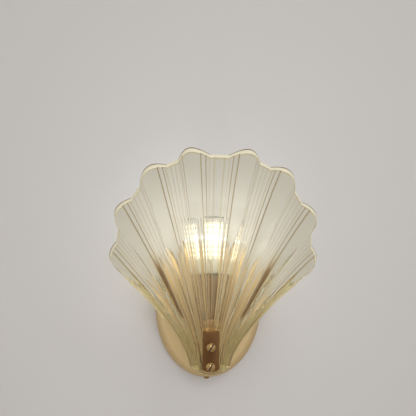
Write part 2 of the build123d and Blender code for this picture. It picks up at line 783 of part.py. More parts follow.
CLAMP_NUT = 3.0
CLAMP_NUT_ACROSS = 8.0
CLAMP_SLOTS = (62.0, 66.0)
for z, label, slot in zip(CLAMP_SCREW_Z, ("upper", "lower"), CLAMP_SLOTS):
    shank = plate_front - tongue_back + CLAMP_NUT + 1.0
    keep(
        headed_screw(plate_front, CLAMP_SCREW_R, shank, CLAMP_HEAD_R, CLAMP_HEAD, z=z, slot_angle=slot),
        f"clamp_screw_{label}",
    )
    keep(
        hex_nut(tongue_back - CLAMP_NUT, CLAMP_SCREW_R + THREAD_FIT, CLAMP_NUT_ACROSS, CLAMP_NUT, z=z),
        f"clamp_nut_{label}",
    )
    with BuildPart() as screw_sleeve:
        with BuildSketch(facing(seat_out, z)):
            Circle(GLASS_HOLE_R - SIDE_CLEAR)
            Circle(CLAMP_SCREW_R + SCREW_CLEAR, mode=Mode.SUBTRACT)
        extrude(amount=SEAT_THICK)
    keep(screw_sleeve.part, f"screw_sleeve_{label}")

# ---------------------------------------------------------------- terminal block
block_front = STRAP_THICK + BLOCK_DEPTH
BLOCK_HEAD_R = 2.4
BLOCK_HEAD = 1.6
WAYS = (("live", -1), ("neutral", 0), ("earth", 1))

with BuildPart() as terminal_block:
    with BuildSketch(facing(STRAP_THICK, block_mid)):
        Rectangle(BLOCK_WIDTH, BLOCK_HEIGHT)
    extrude(amount=BLOCK_DEPTH)
    fillet(terminal_block.faces().sort_by(Axis.Y)[0].edges(), 1.0)
    with BuildSketch(level(BLOCK_TOP, LEAD_BLOCK_OUT)):
        for name, way in WAYS:
            with Locations((way * WAY_PITCH, 0)):
                Circle(WAY_BORE_R)
    extrude(amount=-BLOCK_HEIGHT, mode=Mode.SUBTRACT)
    with BuildSketch(facing(LEAD_BLOCK_OUT, block_mid)):
        for name, way in WAYS:
            with Locations((way * WAY_PITCH, 0)):
                Circle(WAY_SCREW_R)
    extrude(amount=BLOCK_DEPTH, mode=Mode.SUBTRACT)
    with BuildSketch(facing(STRAP_THICK, block_mid)):
        with Locations((WAY_PITCH / 2, 0)):
            Circle(BLOCK_SCREW_R + SCREW_CLEAR)
    extrude(amount=BLOCK_DEPTH, mode=Mode.SUBTRACT)
keep(terminal_block.part, "terminal_block")

block_shank = block_front - THREAD_FIT
keep(
    headed_screw(
        block_front, BLOCK_SCREW_R, block_shank, BLOCK_HEAD_R, BLOCK_HEAD, x=WAY_PITCH / 2, z=block_mid
    ),
    "block_screw",
)

# ---------------------------------------------------------------- earth screw and its tag
TAG_THICK = 0.8
TAG_R = 3.4
TAG_WIDTH = 3.0
BARREL_R = 1.9
BARREL_TOP = EARTH_SCREW_Z - 6.0
BARREL_LENGTH = 6.0
tag_front = STRAP_THICK + TAG_THICK
barrel_out = STRAP_THICK + BARREL_R

with BuildPart() as earth_tag:
    with BuildSketch(facing(STRAP_THICK, EARTH_SCREW_Z, EARTH_SCREW_X)):
        Circle(TAG_R)
        with Locations((0, (BARREL_TOP - EARTH_SCREW_Z) / 2)):
            Rectangle(TAG_WIDTH, EARTH_SCREW_Z - BARREL_TOP + 2)
        Circle(EARTH_SCREW_R + SCREW_CLEAR, mode=Mode.SUBTRACT)
    extrude(amount=TAG_THICK)
    with BuildSketch(level(BARREL_TOP, barrel_out, EARTH_SCREW_X)):
        Circle(BARREL_R)
    extrude(amount=-BARREL_LENGTH)
    with BuildSketch(level(BARREL_TOP - 1.0, barrel_out, EARTH_SCREW_X)):
        Circle(LEAD_R + THREAD_FIT)
    extrude(amount=-BARREL_LENGTH, mode=Mode.SUBTRACT)
keep(earth_tag.part, "earth_tag")
keep(
    headed_screw(
        tag_front,
        EARTH_SCREW_R,
        tag_front - THREAD_FIT,
        TAG_R - 0.6,
        BLOCK_HEAD,
        x=EARTH_SCREW_X,
        z=EARTH_SCREW_Z,
    ),
    "earth_screw",
)

# ---------------------------------------------------------------- leads
lead_top = holder_split - RIVET_TAIL - SEAT_CLEAR
nipple_end = shelf_under - NIPPLE_BELOW
run_top = SHELF_TOP + NIPPLE_ABOVE - 1.5
hole_bend = nipple_end - 1.0 - LEAD_HOLE_Z
bend_start = LEAD_HOLE_Z + hole_bend
block_end = BLOCK_TOP - BLOCK_HEIGHT * 0.8
DOWN = (0, 0, -1)
TO_WALL = (0, 1, 0)
PAN_ENTRY = 15.0
BLOCK_ENTRY = 5.0


def lead(top_x, run_x, way_x, label):
    """A core from the holder, down the nipple, through the bushing and into the terminal block."""
    with BuildPart() as core:
        with BuildLine() as route:
            Spline(
                (top_x, -LAMP_OUT, lead_top),
                (run_x, -LAMP_OUT, run_top),
                tangents=(DOWN, DOWN),
            )
            Line((run_x, -LAMP_OUT, run_top), (run_x, -LAMP_OUT, bend_start))
            ThreePointArc(
                (run_x, -LAMP_OUT, bend_start),
                (
                    run_x,
                    -LAMP_OUT + hole_bend * (1 - math.sqrt(0.5)),
                    bend_start - hole_bend * math.sqrt(0.5),
                ),
                (run_x, -LAMP_OUT + hole_bend, LEAD_HOLE_Z),
            )
            Line((run_x, -LAMP_OUT + hole_bend, LEAD_HOLE_Z), (run_x, -PAN_ENTRY, LEAD_HOLE_Z))
            Spline(
                (run_x, -PAN_ENTRY, LEAD_HOLE_Z),
                (way_x, -LEAD_BLOCK_OUT, BLOCK_TOP + BLOCK_ENTRY),
                tangents=(TO_WALL, DOWN),
            )
            Line(
                (way_x, -LEAD_BLOCK_OUT, BLOCK_TOP + BLOCK_ENTRY),
                (way_x, -LEAD_BLOCK_OUT, block_end),
            )
        with BuildSketch(Plane(origin=route.wire() @ 0, z_dir=DOWN)):
            Circle(LEAD_R)
        sweep()
    keep(core.part, label)


lead(-LEAD_GAP / 2, -LEAD_GAP / 2, -WAY_PITCH, "lead_live")
lead(SHELL_RIVET_X, LEAD_GAP / 2, 0, "lead_neutral")

EARTH_RUN_TOP = -14.0
with BuildPart() as lead_earth:
    with BuildLine() as route:
        Line((WAY_PITCH, -LEAD_BLOCK_OUT, block_end), (WAY_PITCH, -LEAD_BLOCK_OUT, EARTH_RUN_TOP))
        Spline(
            (WAY_PITCH, -LEAD_BLOCK_OUT, EARTH_RUN_TOP),
            (EARTH_SCREW_X, -barrel_out, BARREL_TOP - BARREL_LENGTH),
            tangents=((0, 0, 1), (0, 0, 1)),
        )
        Line(
            (EARTH_SCREW_X, -barrel_out, BARREL_TOP - BARREL_LENGTH),
            (EARTH_SCREW_X, -barrel_out, BARREL_TOP - 2.0),
        )
    with BuildSketch(Plane(origin=route.wire() @ 0, z_dir=(0, 0, 1))):
        Circle(LEAD_R)
    sweep()
keep(lead_earth.part, "lead_earth")

# Grub screws that hold the leads in the block.
for name, way in WAYS:
    with BuildPart() as grub:
        with BuildSketch(facing(LEAD_BLOCK_OUT + LEAD_R + SEAT_CLEAR, block_mid, way * WAY_PITCH)):
            Circle(WAY_SCREW_R - THREAD_FIT)
        extrude(amount=block_front - LEAD_BLOCK_OUT - LEAD_R - 2 * SEAT_CLEAR)
        with BuildSketch(facing(block_front - SEAT_CLEAR, block_mid, way * WAY_PITCH)):
            Rectangle(3 * WAY_SCREW_R, 0.7)
        extrude(amount=-SLOT_DEPTH, mode=Mode.SUBTRACT)
    keep(grub.part, f"terminal_screw_{name}")
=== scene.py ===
"""Shell wall sconce: the pieces and finishes that are seen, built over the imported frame."""

import math

import bmesh
import bpy
from mathutils import Matrix, Vector


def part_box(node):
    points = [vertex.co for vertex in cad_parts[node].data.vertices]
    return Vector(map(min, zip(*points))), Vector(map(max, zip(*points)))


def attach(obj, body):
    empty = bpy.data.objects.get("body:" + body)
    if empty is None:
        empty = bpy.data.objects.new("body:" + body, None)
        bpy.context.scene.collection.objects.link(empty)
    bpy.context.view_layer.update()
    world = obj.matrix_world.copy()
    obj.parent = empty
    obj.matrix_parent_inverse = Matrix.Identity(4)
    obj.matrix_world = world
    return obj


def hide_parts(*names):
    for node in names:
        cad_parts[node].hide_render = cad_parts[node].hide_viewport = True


bl_info = {
    "name": "Shell wall sconce",
    "version": (1, 0, 0),
    "blender": (4, 5, 0),
    "location": "View3D > Sidebar > Sconce",
    "description": "Builds the glass shell, brasswork, lamp and stage of a shell wall sconce",
    "category": "Add Mesh",
}

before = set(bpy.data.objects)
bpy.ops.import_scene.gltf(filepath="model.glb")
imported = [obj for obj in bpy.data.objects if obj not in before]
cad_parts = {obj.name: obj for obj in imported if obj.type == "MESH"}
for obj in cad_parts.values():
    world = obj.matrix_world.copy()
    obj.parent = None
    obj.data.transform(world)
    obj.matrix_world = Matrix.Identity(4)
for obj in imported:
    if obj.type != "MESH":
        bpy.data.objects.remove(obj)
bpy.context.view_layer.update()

MM = 0.001
FIXED = "sconce"
LAMP = "lamp"


# ---------------------------------------------------------------- sizes and colours a user may change
def length(name, text, default_mm):
    """A length property, given in millimetres."""
    return bpy.props.FloatProperty(name=name, description=text, default=default_mm * MM, unit="LENGTH")


def colour(name, text, hex_value):
    """A colour property, given as an sRGB hex value."""
    return bpy.props.FloatVectorProperty(
        name=name,
        description=text,
        default=linear(hex_value)[:3],
        subtype="COLOR",
        size=3,
        min=0,
        max=1,
    )


def linear(hex_value):
    """An sRGB hex value as linear red, green, blue and alpha."""
    channels = []
    for shift in (16, 8, 0):
        c = ((hex_value >> shift) & 255) / 255
        channels.append(c / 12.92 if c <= 0.04045 else ((c + 0.055) / 1.055) ** 2.4)
    return (*channels, 1.0)


class ShadeSizes(bpy.types.PropertyGroup):
    """Sizes of the fluted glass shell: those of its solid, and the height of the fine reeds."""

    bottom: length("Bottom", "Height of the lowest point of the throat", -59.0)
    throat_r: length("Throat half width", "Half the width of the throat", 16.5)
    throat_front: length("Throat front", "Distance of the throat's front from the wall", 73.8)
    throat_fall: length("Throat fall", "How far the throat's sides fall back", 12.0)
    bottom_rise: length("Bottom rise", "How much higher the throat's corners are", 6.0)
    throat_thick: length("Throat thickness", "Glass thickness in the throat", 7.0)
    rim_thick: length("Rim thickness", "Glass thickness at the rim", 5.5)
    bend_r: length("Bend half width", "Half width of the flutes' bend point", 21.0)
    bend_z: length("Bend height", "Height of the flutes' bend point", -14.0)
    rim_z: length("Rim centre", "Height of the rim circle's centre", 64.0)
    rim_r: length("Rim radius", "Radius of the rim circle", 97.0)
    rim_top_out: length("Rim top", "Distance of the rim's top from the wall", 132.0)
    rim_low_out: length("Rim corners", "Distance of the rim's lower corners from the wall", 72.0)
    lip: length("Lip", "How far the lip curls forward", 7.0)
    scallop: length("Scallop", "Height of the rim's scallops", 8.4)
    scallop_foot: length("Scallop foot", "How far the valleys' rim is drawn out", -1.7)
    middle_dip: length("Middle dip", "How much lower the rim is in the middle", 3.4)
    end_dip: length("End dip", "How much lower the rim is at its ends", 2.5)
    relief: length("Relief", "Height of the lobes on the front", 3.2)
    crown: length("Crown", "Extra height in the middle of a lobe", 0.7)
    back_relief: length("Back relief", "Height of the lobes on the back", 0.6)
    reed: length("Reed", "Height of the fine reeds in the valleys", 0.7)


class Finishes(bpy.types.PropertyGroup):
    """Colours of the sconce's materials."""

    glass: colour("Champagne glass", "Tint of the pressed glass", 0xF2F1EC)
    brass: colour("Brass", "Satin brass of the pan", 0xD2B98C)
    glow: colour("Lamp light", "Colour of the lit diodes", 0xFFF3DC)
    wall: colour("Wall", "Wall paint", 0xC9C6C4)


class SconceSettings(bpy.types.PropertyGroup):
    """What the sconce's stage and lamp are set to."""

    lamp_strength: bpy.props.FloatProperty(
        name="Lamp strength", description="Emission of the diodes", default=2.9, min=0
    )
    fill_strength: bpy.props.FloatProperty(
        name="Room light", description="Strength of the soft room light", default=1.0, min=0
    )


# ---------------------------------------------------------------- materials
def node(tree, kind, settings=None, links=None):
    """Adds one shader node, sets its sockets or properties, and links its inputs."""
    made = tree.nodes.new(kind)
    for key, value in (settings or {}).items():
        if isinstance(key, int) or key in made.inputs:
            made.inputs[key].default_value = value
        else:
            setattr(made, key, value)
    for key, source in (links or {}).items():
        tree.links.new(source, made.inputs[key])
    return made


def new_material(name):
    """An empty node material and its output node."""
    made = bpy.data.materials.new(name)
    made.use_nodes = True
    made.node_tree.nodes.clear()
    output = node(made.node_tree, "ShaderNodeOutputMaterial")
    return made, made.node_tree, output


# How far along the amber attribute, which holds painted shade, the glass has its honey tint, and then
# its brown one.
HONEY_AT = 0.35
BROWN_AT = 0.8


def see_through(name, tint, roughness, ior, lamp_pass, deep=None, milk=0.0, absorb=None, density=0.0):
    """Glass that bends what is seen through it and lets lamps through with a tint.

    With three deeper tints of painted shade, the mesh's "amber" attribute carries the colour from the
    tint to them in turn. The milk is the share of light that the glass scatters on its way through.
    """
    made, tree, output = new_material(name)
    glass = node(
        tree,
        "ShaderNodeBsdfPrincipled",
        {"Base Color": tint, "Roughness": roughness, "IOR": ior, "Transmission Weight": 1.0},
    )
    if deep:
        amber = node(tree, "ShaderNodeAttribute", {"attribute_name": "amber"})
        ramp = node(tree, "ShaderNodeValToRGB", links={"Fac": amber.outputs["Fac"]})
        ramp.color_ramp.elements[0].color = tint
        ramp.color_ramp.elements[1].color = deep[2]
        ramp.color_ramp.elements.new(HONEY_AT).color = deep[0]
        ramp.color_ramp.elements.new(BROWN_AT).color = deep[1]
        tree.links.new(ramp.outputs["Color"], glass.inputs["Base Color"])
    body = glass
    if milk:
        haze = node(tree, "ShaderNodeBsdfTranslucent", {"Color": tint})
        body = node(tree, "ShaderNodeMixShader", {0: milk}, {1: glass.outputs[0], 2: haze.outputs[0]})
    clear = node(tree, "ShaderNodeBsdfTransparent", {"Color": lamp_pass})
    path = node(tree, "ShaderNodeLightPath")
    mix = node(
        tree,
        "ShaderNodeMixShader",
        links={0: path.outputs["Is Shadow Ray"], 1: body.outputs[0], 2: clear.outputs[0]},
    )
    tree.links.new(mix.outputs[0], output.inputs["Surface"])
    if absorb:
        volume = node(tree, "ShaderNodeVolumeAbsorption", {"Color": absorb, "Density": density})
        tree.links.new(volume.outputs[0], output.inputs["Volume"])
    return made


def polished_metal(name, colour_value, roughness, ripple=0.0, ripple_mm=4.0):
    """Metal with a faint unevenness of polish, which breaks up its reflections a little."""
    made, tree, output = new_material(name)
    metal = node(
        tree,
        "ShaderNodeBsdfPrincipled",
        {"Base Color": colour_value, "Metallic": 1.0, "Roughness": roughness},
    )
    if ripple:
        place = node(tree, "ShaderNodeTexCoord")
        noise = node(
            tree,
            "ShaderNodeTexNoise",
            {"Scale": 1 / (ripple_mm * MM), "Detail": 2.0},
            {"Vector": place.outputs["Object"]},
        )
        spread = node(
            tree,
            "ShaderNodeMapRange",
            {"To Min": roughness, "To Max": roughness + ripple},
            {"Value": noise.outputs["Fac"]},
        )
        tree.links.new(spread.outputs["Result"], metal.inputs["Roughness"])
    tree.links.new(metal.outputs[0], output.inputs["Surface"])
    return made


def moulded(name, colour_value, roughness, ior=1.5, glow=0.0):
    """Plain moulded plastic, rubber or paint, which may glow."""
    made, tree, output = new_material(name)
    body = node(
        tree,
        "ShaderNodeBsdfPrincipled",
        {
            "Base Color": colour_value,
            "Roughness": roughness,
            "IOR": ior,
            "Emission Color": colour_value,
            "Emission Strength": glow,
        },
    )
    tree.links.new(body.outputs[0], output.inputs["Surface"])
    return made


def glowing(name, colour_value, strength):
    """A lit phosphor: a plain emitter."""
    made, tree, output = new_material(name)
    light = node(tree, "ShaderNodeEmission", {"Color": colour_value, "Strength": strength})
    tree.links.new(light.outputs[0], output.inputs["Surface"])
    return made


MATERIALS = {}
# Where across the rim's end the painted shade of its brown outer corner starts and is full, from 0 in
# front to 1 behind.
RIM_LINE_FROM = 0.74
RIM_LINE_FULL = 0.81


def finish(key):
    """One of the object's materials; all are made at the first call."""
    if not MATERIALS:
        make_materials()
    return MATERIALS[key]


def make_materials():
    """Makes every material of the object."""
    looks = bpy.context.scene.sconce_finishes
    lamp = bpy.context.scene.sconce_settings
    glass = (*looks.glass, 1.0)
    brass = (*looks.brass, 1.0)
    # Pressed soda glass, fire polished: nearly clear face on. Its straw to brown tints are painted
    # shade, laid where the mesh says: on the steps and grooves of the flutes, the rim, the sides and a
    # fold, and in the throat, where the honey tint is a painted reflection of the brass behind.
    MATERIALS["glass"] = see_through(
        "Pressed champagne glass",
        glass,
        roughness=0.015,
        ior=1.5,
        lamp_pass=linear(0xFEFCF8),
        deep=(linear(0xE8D8AA), linear(0x80500F), linear(0x3E2204)),
        milk=0.035,
        absorb=linear(0xE8E2B6),
        density=36.0,
    )
    # The ends of the glass, ground and fire polished again: cream, faintly frosted. The brown of the
    # rim's outer corner over the lobes, and the tan of the side ends, is painted shade where the glass
    # is seen end on.
    rim, tree, output = new_material("Fire polished glass rim")
    corner = node(tree, "ShaderNodeAttribute", {"attribute_name": "outer_rim"})
    band = node(tree, "ShaderNodeValToRGB", links={"Fac": corner.outputs["Fac"]})
    band.color_ramp.elements[0].position = RIM_LINE_FROM
    band.color_ramp.elements[0].color = linear(0xE4DDC4)
    band.color_ramp.elements[1].position = RIM_LINE_FULL
    band.color_ramp.elements[1].color = linear(0x6E5210)
    frosted = node(
        tree,
        "ShaderNodeBsdfPrincipled",
        {"Roughness": 0.4, "IOR": 1.5, "Specular IOR Level": 0.05},
        {"Base Color": band.outputs["Color"]},
    )
    tree.links.new(frosted.outputs[0], output.inputs["Surface"])
    MATERIALS["rim"] = rim
    # Satin brushed and lacquered brass of the pan: it gathers light from all over the room.
    MATERIALS["satin_brass"] = polished_metal(
        "Satin brass", brass, roughness=0.34, ripple=0.05, ripple_mm=5.0
    )
    # Polished and lacquered brass: warm, mirror-like, its reflections a little soft.
    MATERIALS["brass"] = polished_metal(
        "Polished brass", linear(0xB5966A), roughness=0.16, ripple=0.05, ripple_mm=6.0
    )
    # The clamp plate's brass: dark, and still a mirror.
    MATERIALS["dark_brass"] = polished_metal(
        "Dark polished brass", linear(0x745435), roughness=0.1, ripple=0.12, ripple_mm=5.0
    )
    # Turned brass of screws and nuts: a warm mirror with bright points on the domed heads.
    MATERIALS["turned"] = polished_metal("Turned brass", linear(0xA98A5B), roughness=0.16)
    # Painted shade on the walls and floor of the screw slots: dark, matt brass.
    MATERIALS["slot_shade"] = moulded("Painted slot shade", linear(0x2E2013), roughness=0.6)
    # Zinc-plated steel: grey, slightly milky.
    MATERIALS["steel"] = polished_metal("Zinc plated steel", linear(0xB9BBBE), roughness=0.32)
    # Nickel plate of the lamp's cap: a cool, slightly soft mirror.
    MATERIALS["nickel"] = polished_metal("Nickel plate", linear(0xC4C1BA), roughness=0.2)
    # Black phenolic moulding with a dull sheen.
    MATERIALS["phenolic"] = moulded("Black phenolic", linear(0x1B1A19), roughness=0.4)
    # White polycarbonate of the lamp's collar, moulded: off-white with a soft gloss.
    MATERIALS["collar"] = moulded("White polycarbonate", linear(0xE6E2D8), roughness=0.3, ior=1.58)
    # Natural nylon of the block, bushing and sleeves: off-white, half matt.
    MATERIALS["nylon"] = moulded("Natural nylon", linear(0xDDD9CC), roughness=0.45, ior=1.53)
    # Natural rubber gaskets, amber and slightly waxy, so that they hardly show behind the glass.
    MATERIALS["rubber"] = moulded("Natural rubber", linear(0xB4965F), roughness=0.5, ior=1.52)
    # White circuit board of the diode column; its faint glow is painted light from its diodes.
    MATERIALS["board"] = moulded("White circuit board", linear(0xEFE9DA), roughness=0.5, glow=0.5)
    # Clear polycarbonate of the lamp's cover, moulded: it softens the diodes seen through it.
    MATERIALS["cover"] = see_through(
        "Clear polycarbonate",
        linear(0xFFFFFF),
        roughness=0.12,
        ior=1.58,
        lamp_pass=linear(0xFAFAFA),
    )
    # Phosphor of the lit diodes: bright yellow-white points.
    MATERIALS["phosphor"] = glowing("Lit phosphor", (*looks.glow, 1.0), lamp.lamp_strength)
    # Soft PVC insulation of the leads: plain brown, blue and green with a dull gloss.
    MATERIALS["brown"] = moulded("Brown core insulation", linear(0x5A351F), roughness=0.45)
    MATERIALS["blue"] = moulded("Blue core insulation", linear(0x2C4F8C), roughness=0.45)
    MATERIALS["green"] = moulded("Green core insulation", linear(0x4B7A2B), roughness=0.45)


# The finish of every CAD node that is shown as packed.
NODE_FINISH = {
    "arm_nut_lower": "steel",
    "arm_nut_upper": "steel",
    "block_screw": "steel",
    "centre_contact": "brass",
    "clamp_nut_lower": "turned",
    "clamp_nut_upper": "turned",
    "contact_shell": "brass",
    "earth_screw": "steel",
    "earth_tag": "steel",
    "front_gasket": "rubber",
    "holder_base": "phenolic",
    "holder_body": "phenolic",
    "lamp_column": "board",
    "lamp_insulator": "phenolic",
    "lamp_tip": "nickel",
    "nipple_nut": "turned",
    "rear_gasket": "rubber",
    "screw_sleeve_lower": "nylon",
    "screw_sleeve_upper": "nylon",
    "terminal_block": "nylon",
    "terminal_screw_earth": "steel",
    "terminal_screw_live": "steel",
    "terminal_screw_neutral": "steel",
    "threaded_nipple": "brass",
    "wall_strap": "steel",
}


# ---------------------------------------------------------------- mesh helpers
# Points closer than this are one, and how many sides a turned piece has.
SAME_PLACE = 1e-6
TURN_STEPS = 96


def finish_piece(mesh, name, material, body, node_names, smooth=True, sharp_deg=None):
    """Turns a bmesh into a named piece in place, with its material, body and CAD nodes."""
    data = bpy.data.meshes.new(name)
    mesh.to_mesh(data)
    mesh.free()
    if smooth:
        data.polygons.foreach_set("use_smooth", [True] * len(data.polygons))
    if sharp_deg is not None:
        data.set_sharp_from_angle(angle=math.radians(sharp_deg))
    data.materials.append(material)
    piece = bpy.data.objects.new(name, data)
    bpy.context.scene.collection.objects.link(piece)
    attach(piece, body)
    if node_names:
        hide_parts(*node_names)
    return piece


def turned_mesh(profile, centre):
    """A shape turned from (radius, height) points about the upright axis through a centre."""
    mesh = bmesh.new()
    verts = [mesh.verts.new((r, 0, z)) for r, z in profile]
    edges = [mesh.edges.new(pair) for pair in zip(verts, verts[1:])]
    bmesh.ops.spin(
        mesh,
        geom=verts + edges,
        cent=(0, 0, 0),
        axis=(0, 0, 1),
        angle=2 * math.pi,
        steps=TURN_STEPS,
        use_merge=True,
    )
    bmesh.ops.remove_doubles(mesh, verts=mesh.verts, dist=SAME_PLACE)
    bmesh.ops.recalc_face_normals(mesh, faces=mesh.faces)
    bmesh.ops.translate(mesh, verts=mesh.verts, vec=centre)
    return mesh


# ---------------------------------------------------------------- fluted glass shell
# The lobes: their pitch round the rim, how many lie on each side, and how far the middle ones are
# spread apart.
LOBE_PITCH = math.radians(27.0)
LOBES_A_SIDE = 3.75
CENTRE_SPREAD = math.radians(3.0)
SPREAD_REACH = 1.1
# Where up the shell the lip starts to curl and where the throat bends out, and what share of their
# height the lobes have in the throat.
LIP_START = 0.86
FLARE_START = 0.26
FLARE_FULL = 0.52
THROAT_GROWTH = 0.2
# The rim's scallops: where a dome starts, and how far the dips in the middle and at the ends reach.
DOME_FOOT = 0.3
MIDDLE_REACH = 0.75
END_REACH = 0.6
# A lobe of the front rises in two crisp steps with a narrow ledge between; the back's rise is soft.
FIRST_STEP = (0.42, 0.47)
SECOND_STEP = (0.58, 0.64)
FIRST_SHARE = 0.45
STEP_EDGE = 0.64
BACK_FOOT = 0.38
BACK_EDGE = 0.62
# Fine reeds fill the valleys, fainter ones run over the lobes, and all fade out toward the throat.
# The middle valley has a wide reed in its middle, and the grooves beside it have places of their own.
REEDS_A_LOBE = 9
MIDDLE_REEDS = (0.0, 0.083, 0.164, 0.245)
LOBE_REEDS = 5
LOBE_REED_SHARE = 0.2
REEDS_FROM = 0.1
REEDS_FULL = 0.5
# Low down the whole glass has round flutes, four to a lobe's pitch, whose height is a share of their
# width, and each lobe has more crown. Both run out flat toward the rim.
LOW_FLUTES = 4
FLUTE_SHARE = 0.2
LOW_CROWN = 0.6 * MM
FLAT_FROM = 0.5
FLAT_AT = 0.84
# The painted shade in the grooves between the low flutes differs in depth from groove to groove, in a
# fixed pattern.
GROOVE_MEAN = 0.68
GROOVE_VARY = 0.3
GROOVE_TURN = 2.4
# The broad brown fold of painted shade on the inner step wall of the third lobe on each side: its place
# across, its half width, and where it fades in and out.
FOLD_PLACE = 2.27
FOLD_WIDTH = 0.095
FOLD_IN = (0.38, 0.5)
FOLD_OUT = (0.7, 0.84)
# Where the painted shade deepens toward the shell's sides, and how tan the painted shade on their end
# faces is.
SIDE_AMBER = (3.5, 3.7)
SIDE_TAN = 0.77
# The grid that the shell is made from, what counts as lying on its border, and how wide its bevels
# are. The last row before the rim is moved close to it, so that the rim's inner line is thin.
ACROSS_A_LOBE = 72
UP_STEPS = 72
ON_BORDER = 1e-4
GLASS_SOFT = 0.35 * MM
LAST_ROW_FROM = 1 - 1.5 / UP_STEPS
LAST_ROW = 0.994
# How deep the rim's painted shade is, and how near a lobe's middle the painted shade of its brown outer
# corner starts, from 0 in a valley to 1 on the lobe.
RIM_AMBER = 0.5
RIM_LINE_PHASE = 0.3
# How deep the painted shade is in the reeds' grooves and on the sides, how much of it the steps lose
# low down, how sharply it fades beside a groove, and where the throat's honey tint, a painted
# reflection of the brass, ends.
REED_GROOVE = 0.5
SIDE_DEPTH = 0.7
STEP_FADE = 0.5
REED_SHARPNESS = 6
FLUTE_SHARPNESS = 3
THROAT_FADE = (0.25, 0.62)
# The flat seats of the clamp, in front of the glass and behind it.
SEAT_HALF = 8.65 * MM
SEAT_TOP = -14.7 * MM
SEAT_BACK = 67.4 * MM
BACK_SEAT_HALF = 9.5 * MM
BACK_SEAT_TOP = -2.0 * MM


def ease(value, start, stop):
    """A smooth step from 0 to 1 between two values."""
    part = min(max((value - start) / (stop - start), 0.0), 1.0)
    return part * part * (3 - 2 * part)


def lobe_phase(across):
    """0 in the middle of a valley, 1 on the middle of a lobe."""
    return 1 - 2 * abs(abs(across) % 1.0 - 0.5)


def step_up(across):
    """How far a lobe of the front has risen out of its valleys, 0 to 1."""
    phase = lobe_phase(across)
    return FIRST_SHARE * ease(phase, *FIRST_STEP) + (1 - FIRST_SHARE) * ease(phase, *SECOND_STEP)


def reed_place(across):
    """Where a point lies on its reed: 0 on the reed's middle, 1 in the grooves beside it."""
    away = abs(across)
    if away < MIDDLE_REEDS[1]:
        return away / MIDDLE_REEDS[1]
    if away < MIDDLE_REEDS[-1]:
        for start, stop in zip(MIDDLE_REEDS[1:], MIDDLE_REEDS[2:]):
            if away < stop:
                return abs(2 * (away - start) / (stop - start) - 1)
    return abs(2 * ((REEDS_A_LOBE * away + 0.5) % 1.0) - 1)


def lobe_reed(across):
    """The profile of the reeds that run over a lobe, 1 on a reed's middle and 0 in its grooves."""
    part = (lobe_phase(across) - STEP_EDGE) / (1 - STEP_EDGE)
    if part < 0:
        return 0.0
    away = LOBE_REEDS * (1 - part) / 2
    return 1 - (2 * ((away + 0.5) % 1.0) - 1) ** 2


def flute_place(across):
    """Where a point lies on its low flute: 0 on the flute's middle, 1 in the grooves beside it."""
    return abs(2 * ((LOW_FLUTES * abs(across) + 0.5) % 1.0) - 1)


def lobe_pitch(size, up):
    """About how wide one lobe and its valley are at a height on the shell."""
    narrow = (1 - up) ** 2 * size.throat_r + 2 * up * (1 - up) * size.bend_r
    return narrow / LOBES_A_SIDE + up**2 * size.rim_r * LOBE_PITCH


def scallop(size, across):
    """How far the rim is drawn out: flat over the valleys, a dome over each lobe."""
    dome = math.sin(math.pi / 2 * max((lobe_phase(across) - DOME_FOOT) / (1 - DOME_FOOT), 0.0))
    middle = math.exp(-((across / MIDDLE_REACH) ** 2))
    end = ease(abs(across), LOBES_A_SIDE - END_REACH, LOBES_A_SIDE)
    return size.scallop_foot + size.scallop * dome - size.middle_dip * middle - size.end_dip * end


def skeleton(size, across, up, drawn_out):
    """A point midway in the glass before its flutes."""
    share = across / LOBES_A_SIDE
    spread = CENTRE_SPREAD * math.sin(math.pi * across) * math.exp(-((across / SPREAD_REACH) ** 2))
    turn = LOBE_PITCH * across + spread
    radius = size.rim_r + drawn_out
    rim_x = radius * math.sin(turn)
    rim_z = size.rim_z + radius * math.cos(turn)
    first = (1 - up) ** 2
    second = 2 * up * (1 - up)
    x = first * size.throat_r * share + second * size.bend_r * share + up**2 * rim_x
    z = first * (size.bottom + size.bottom_rise * share**2) + second * size.bend_z + up**2 * rim_z
    rim_fall = size.rim_r * (1 - math.cos(LOBE_PITCH * LOBES_A_SIDE))
    slope = (size.rim_top_out - size.rim_low_out) / rim_fall
    throat_out = size.throat_front - size.throat_thick / 2 - size.throat_fall * share**4
    rim_out = size.rim_top_out - slope * (size.rim_z + size.rim_r - rim_z)
    flare = up**2 * ease(up, FLARE_START, FLARE_FULL)
    curl = max((up - LIP_START) / (1 - LIP_START), 0.0)
    out = (1 - flare) * throat_out + flare * rim_out + size.lip * curl**2
    return Vector((x, -out, z))


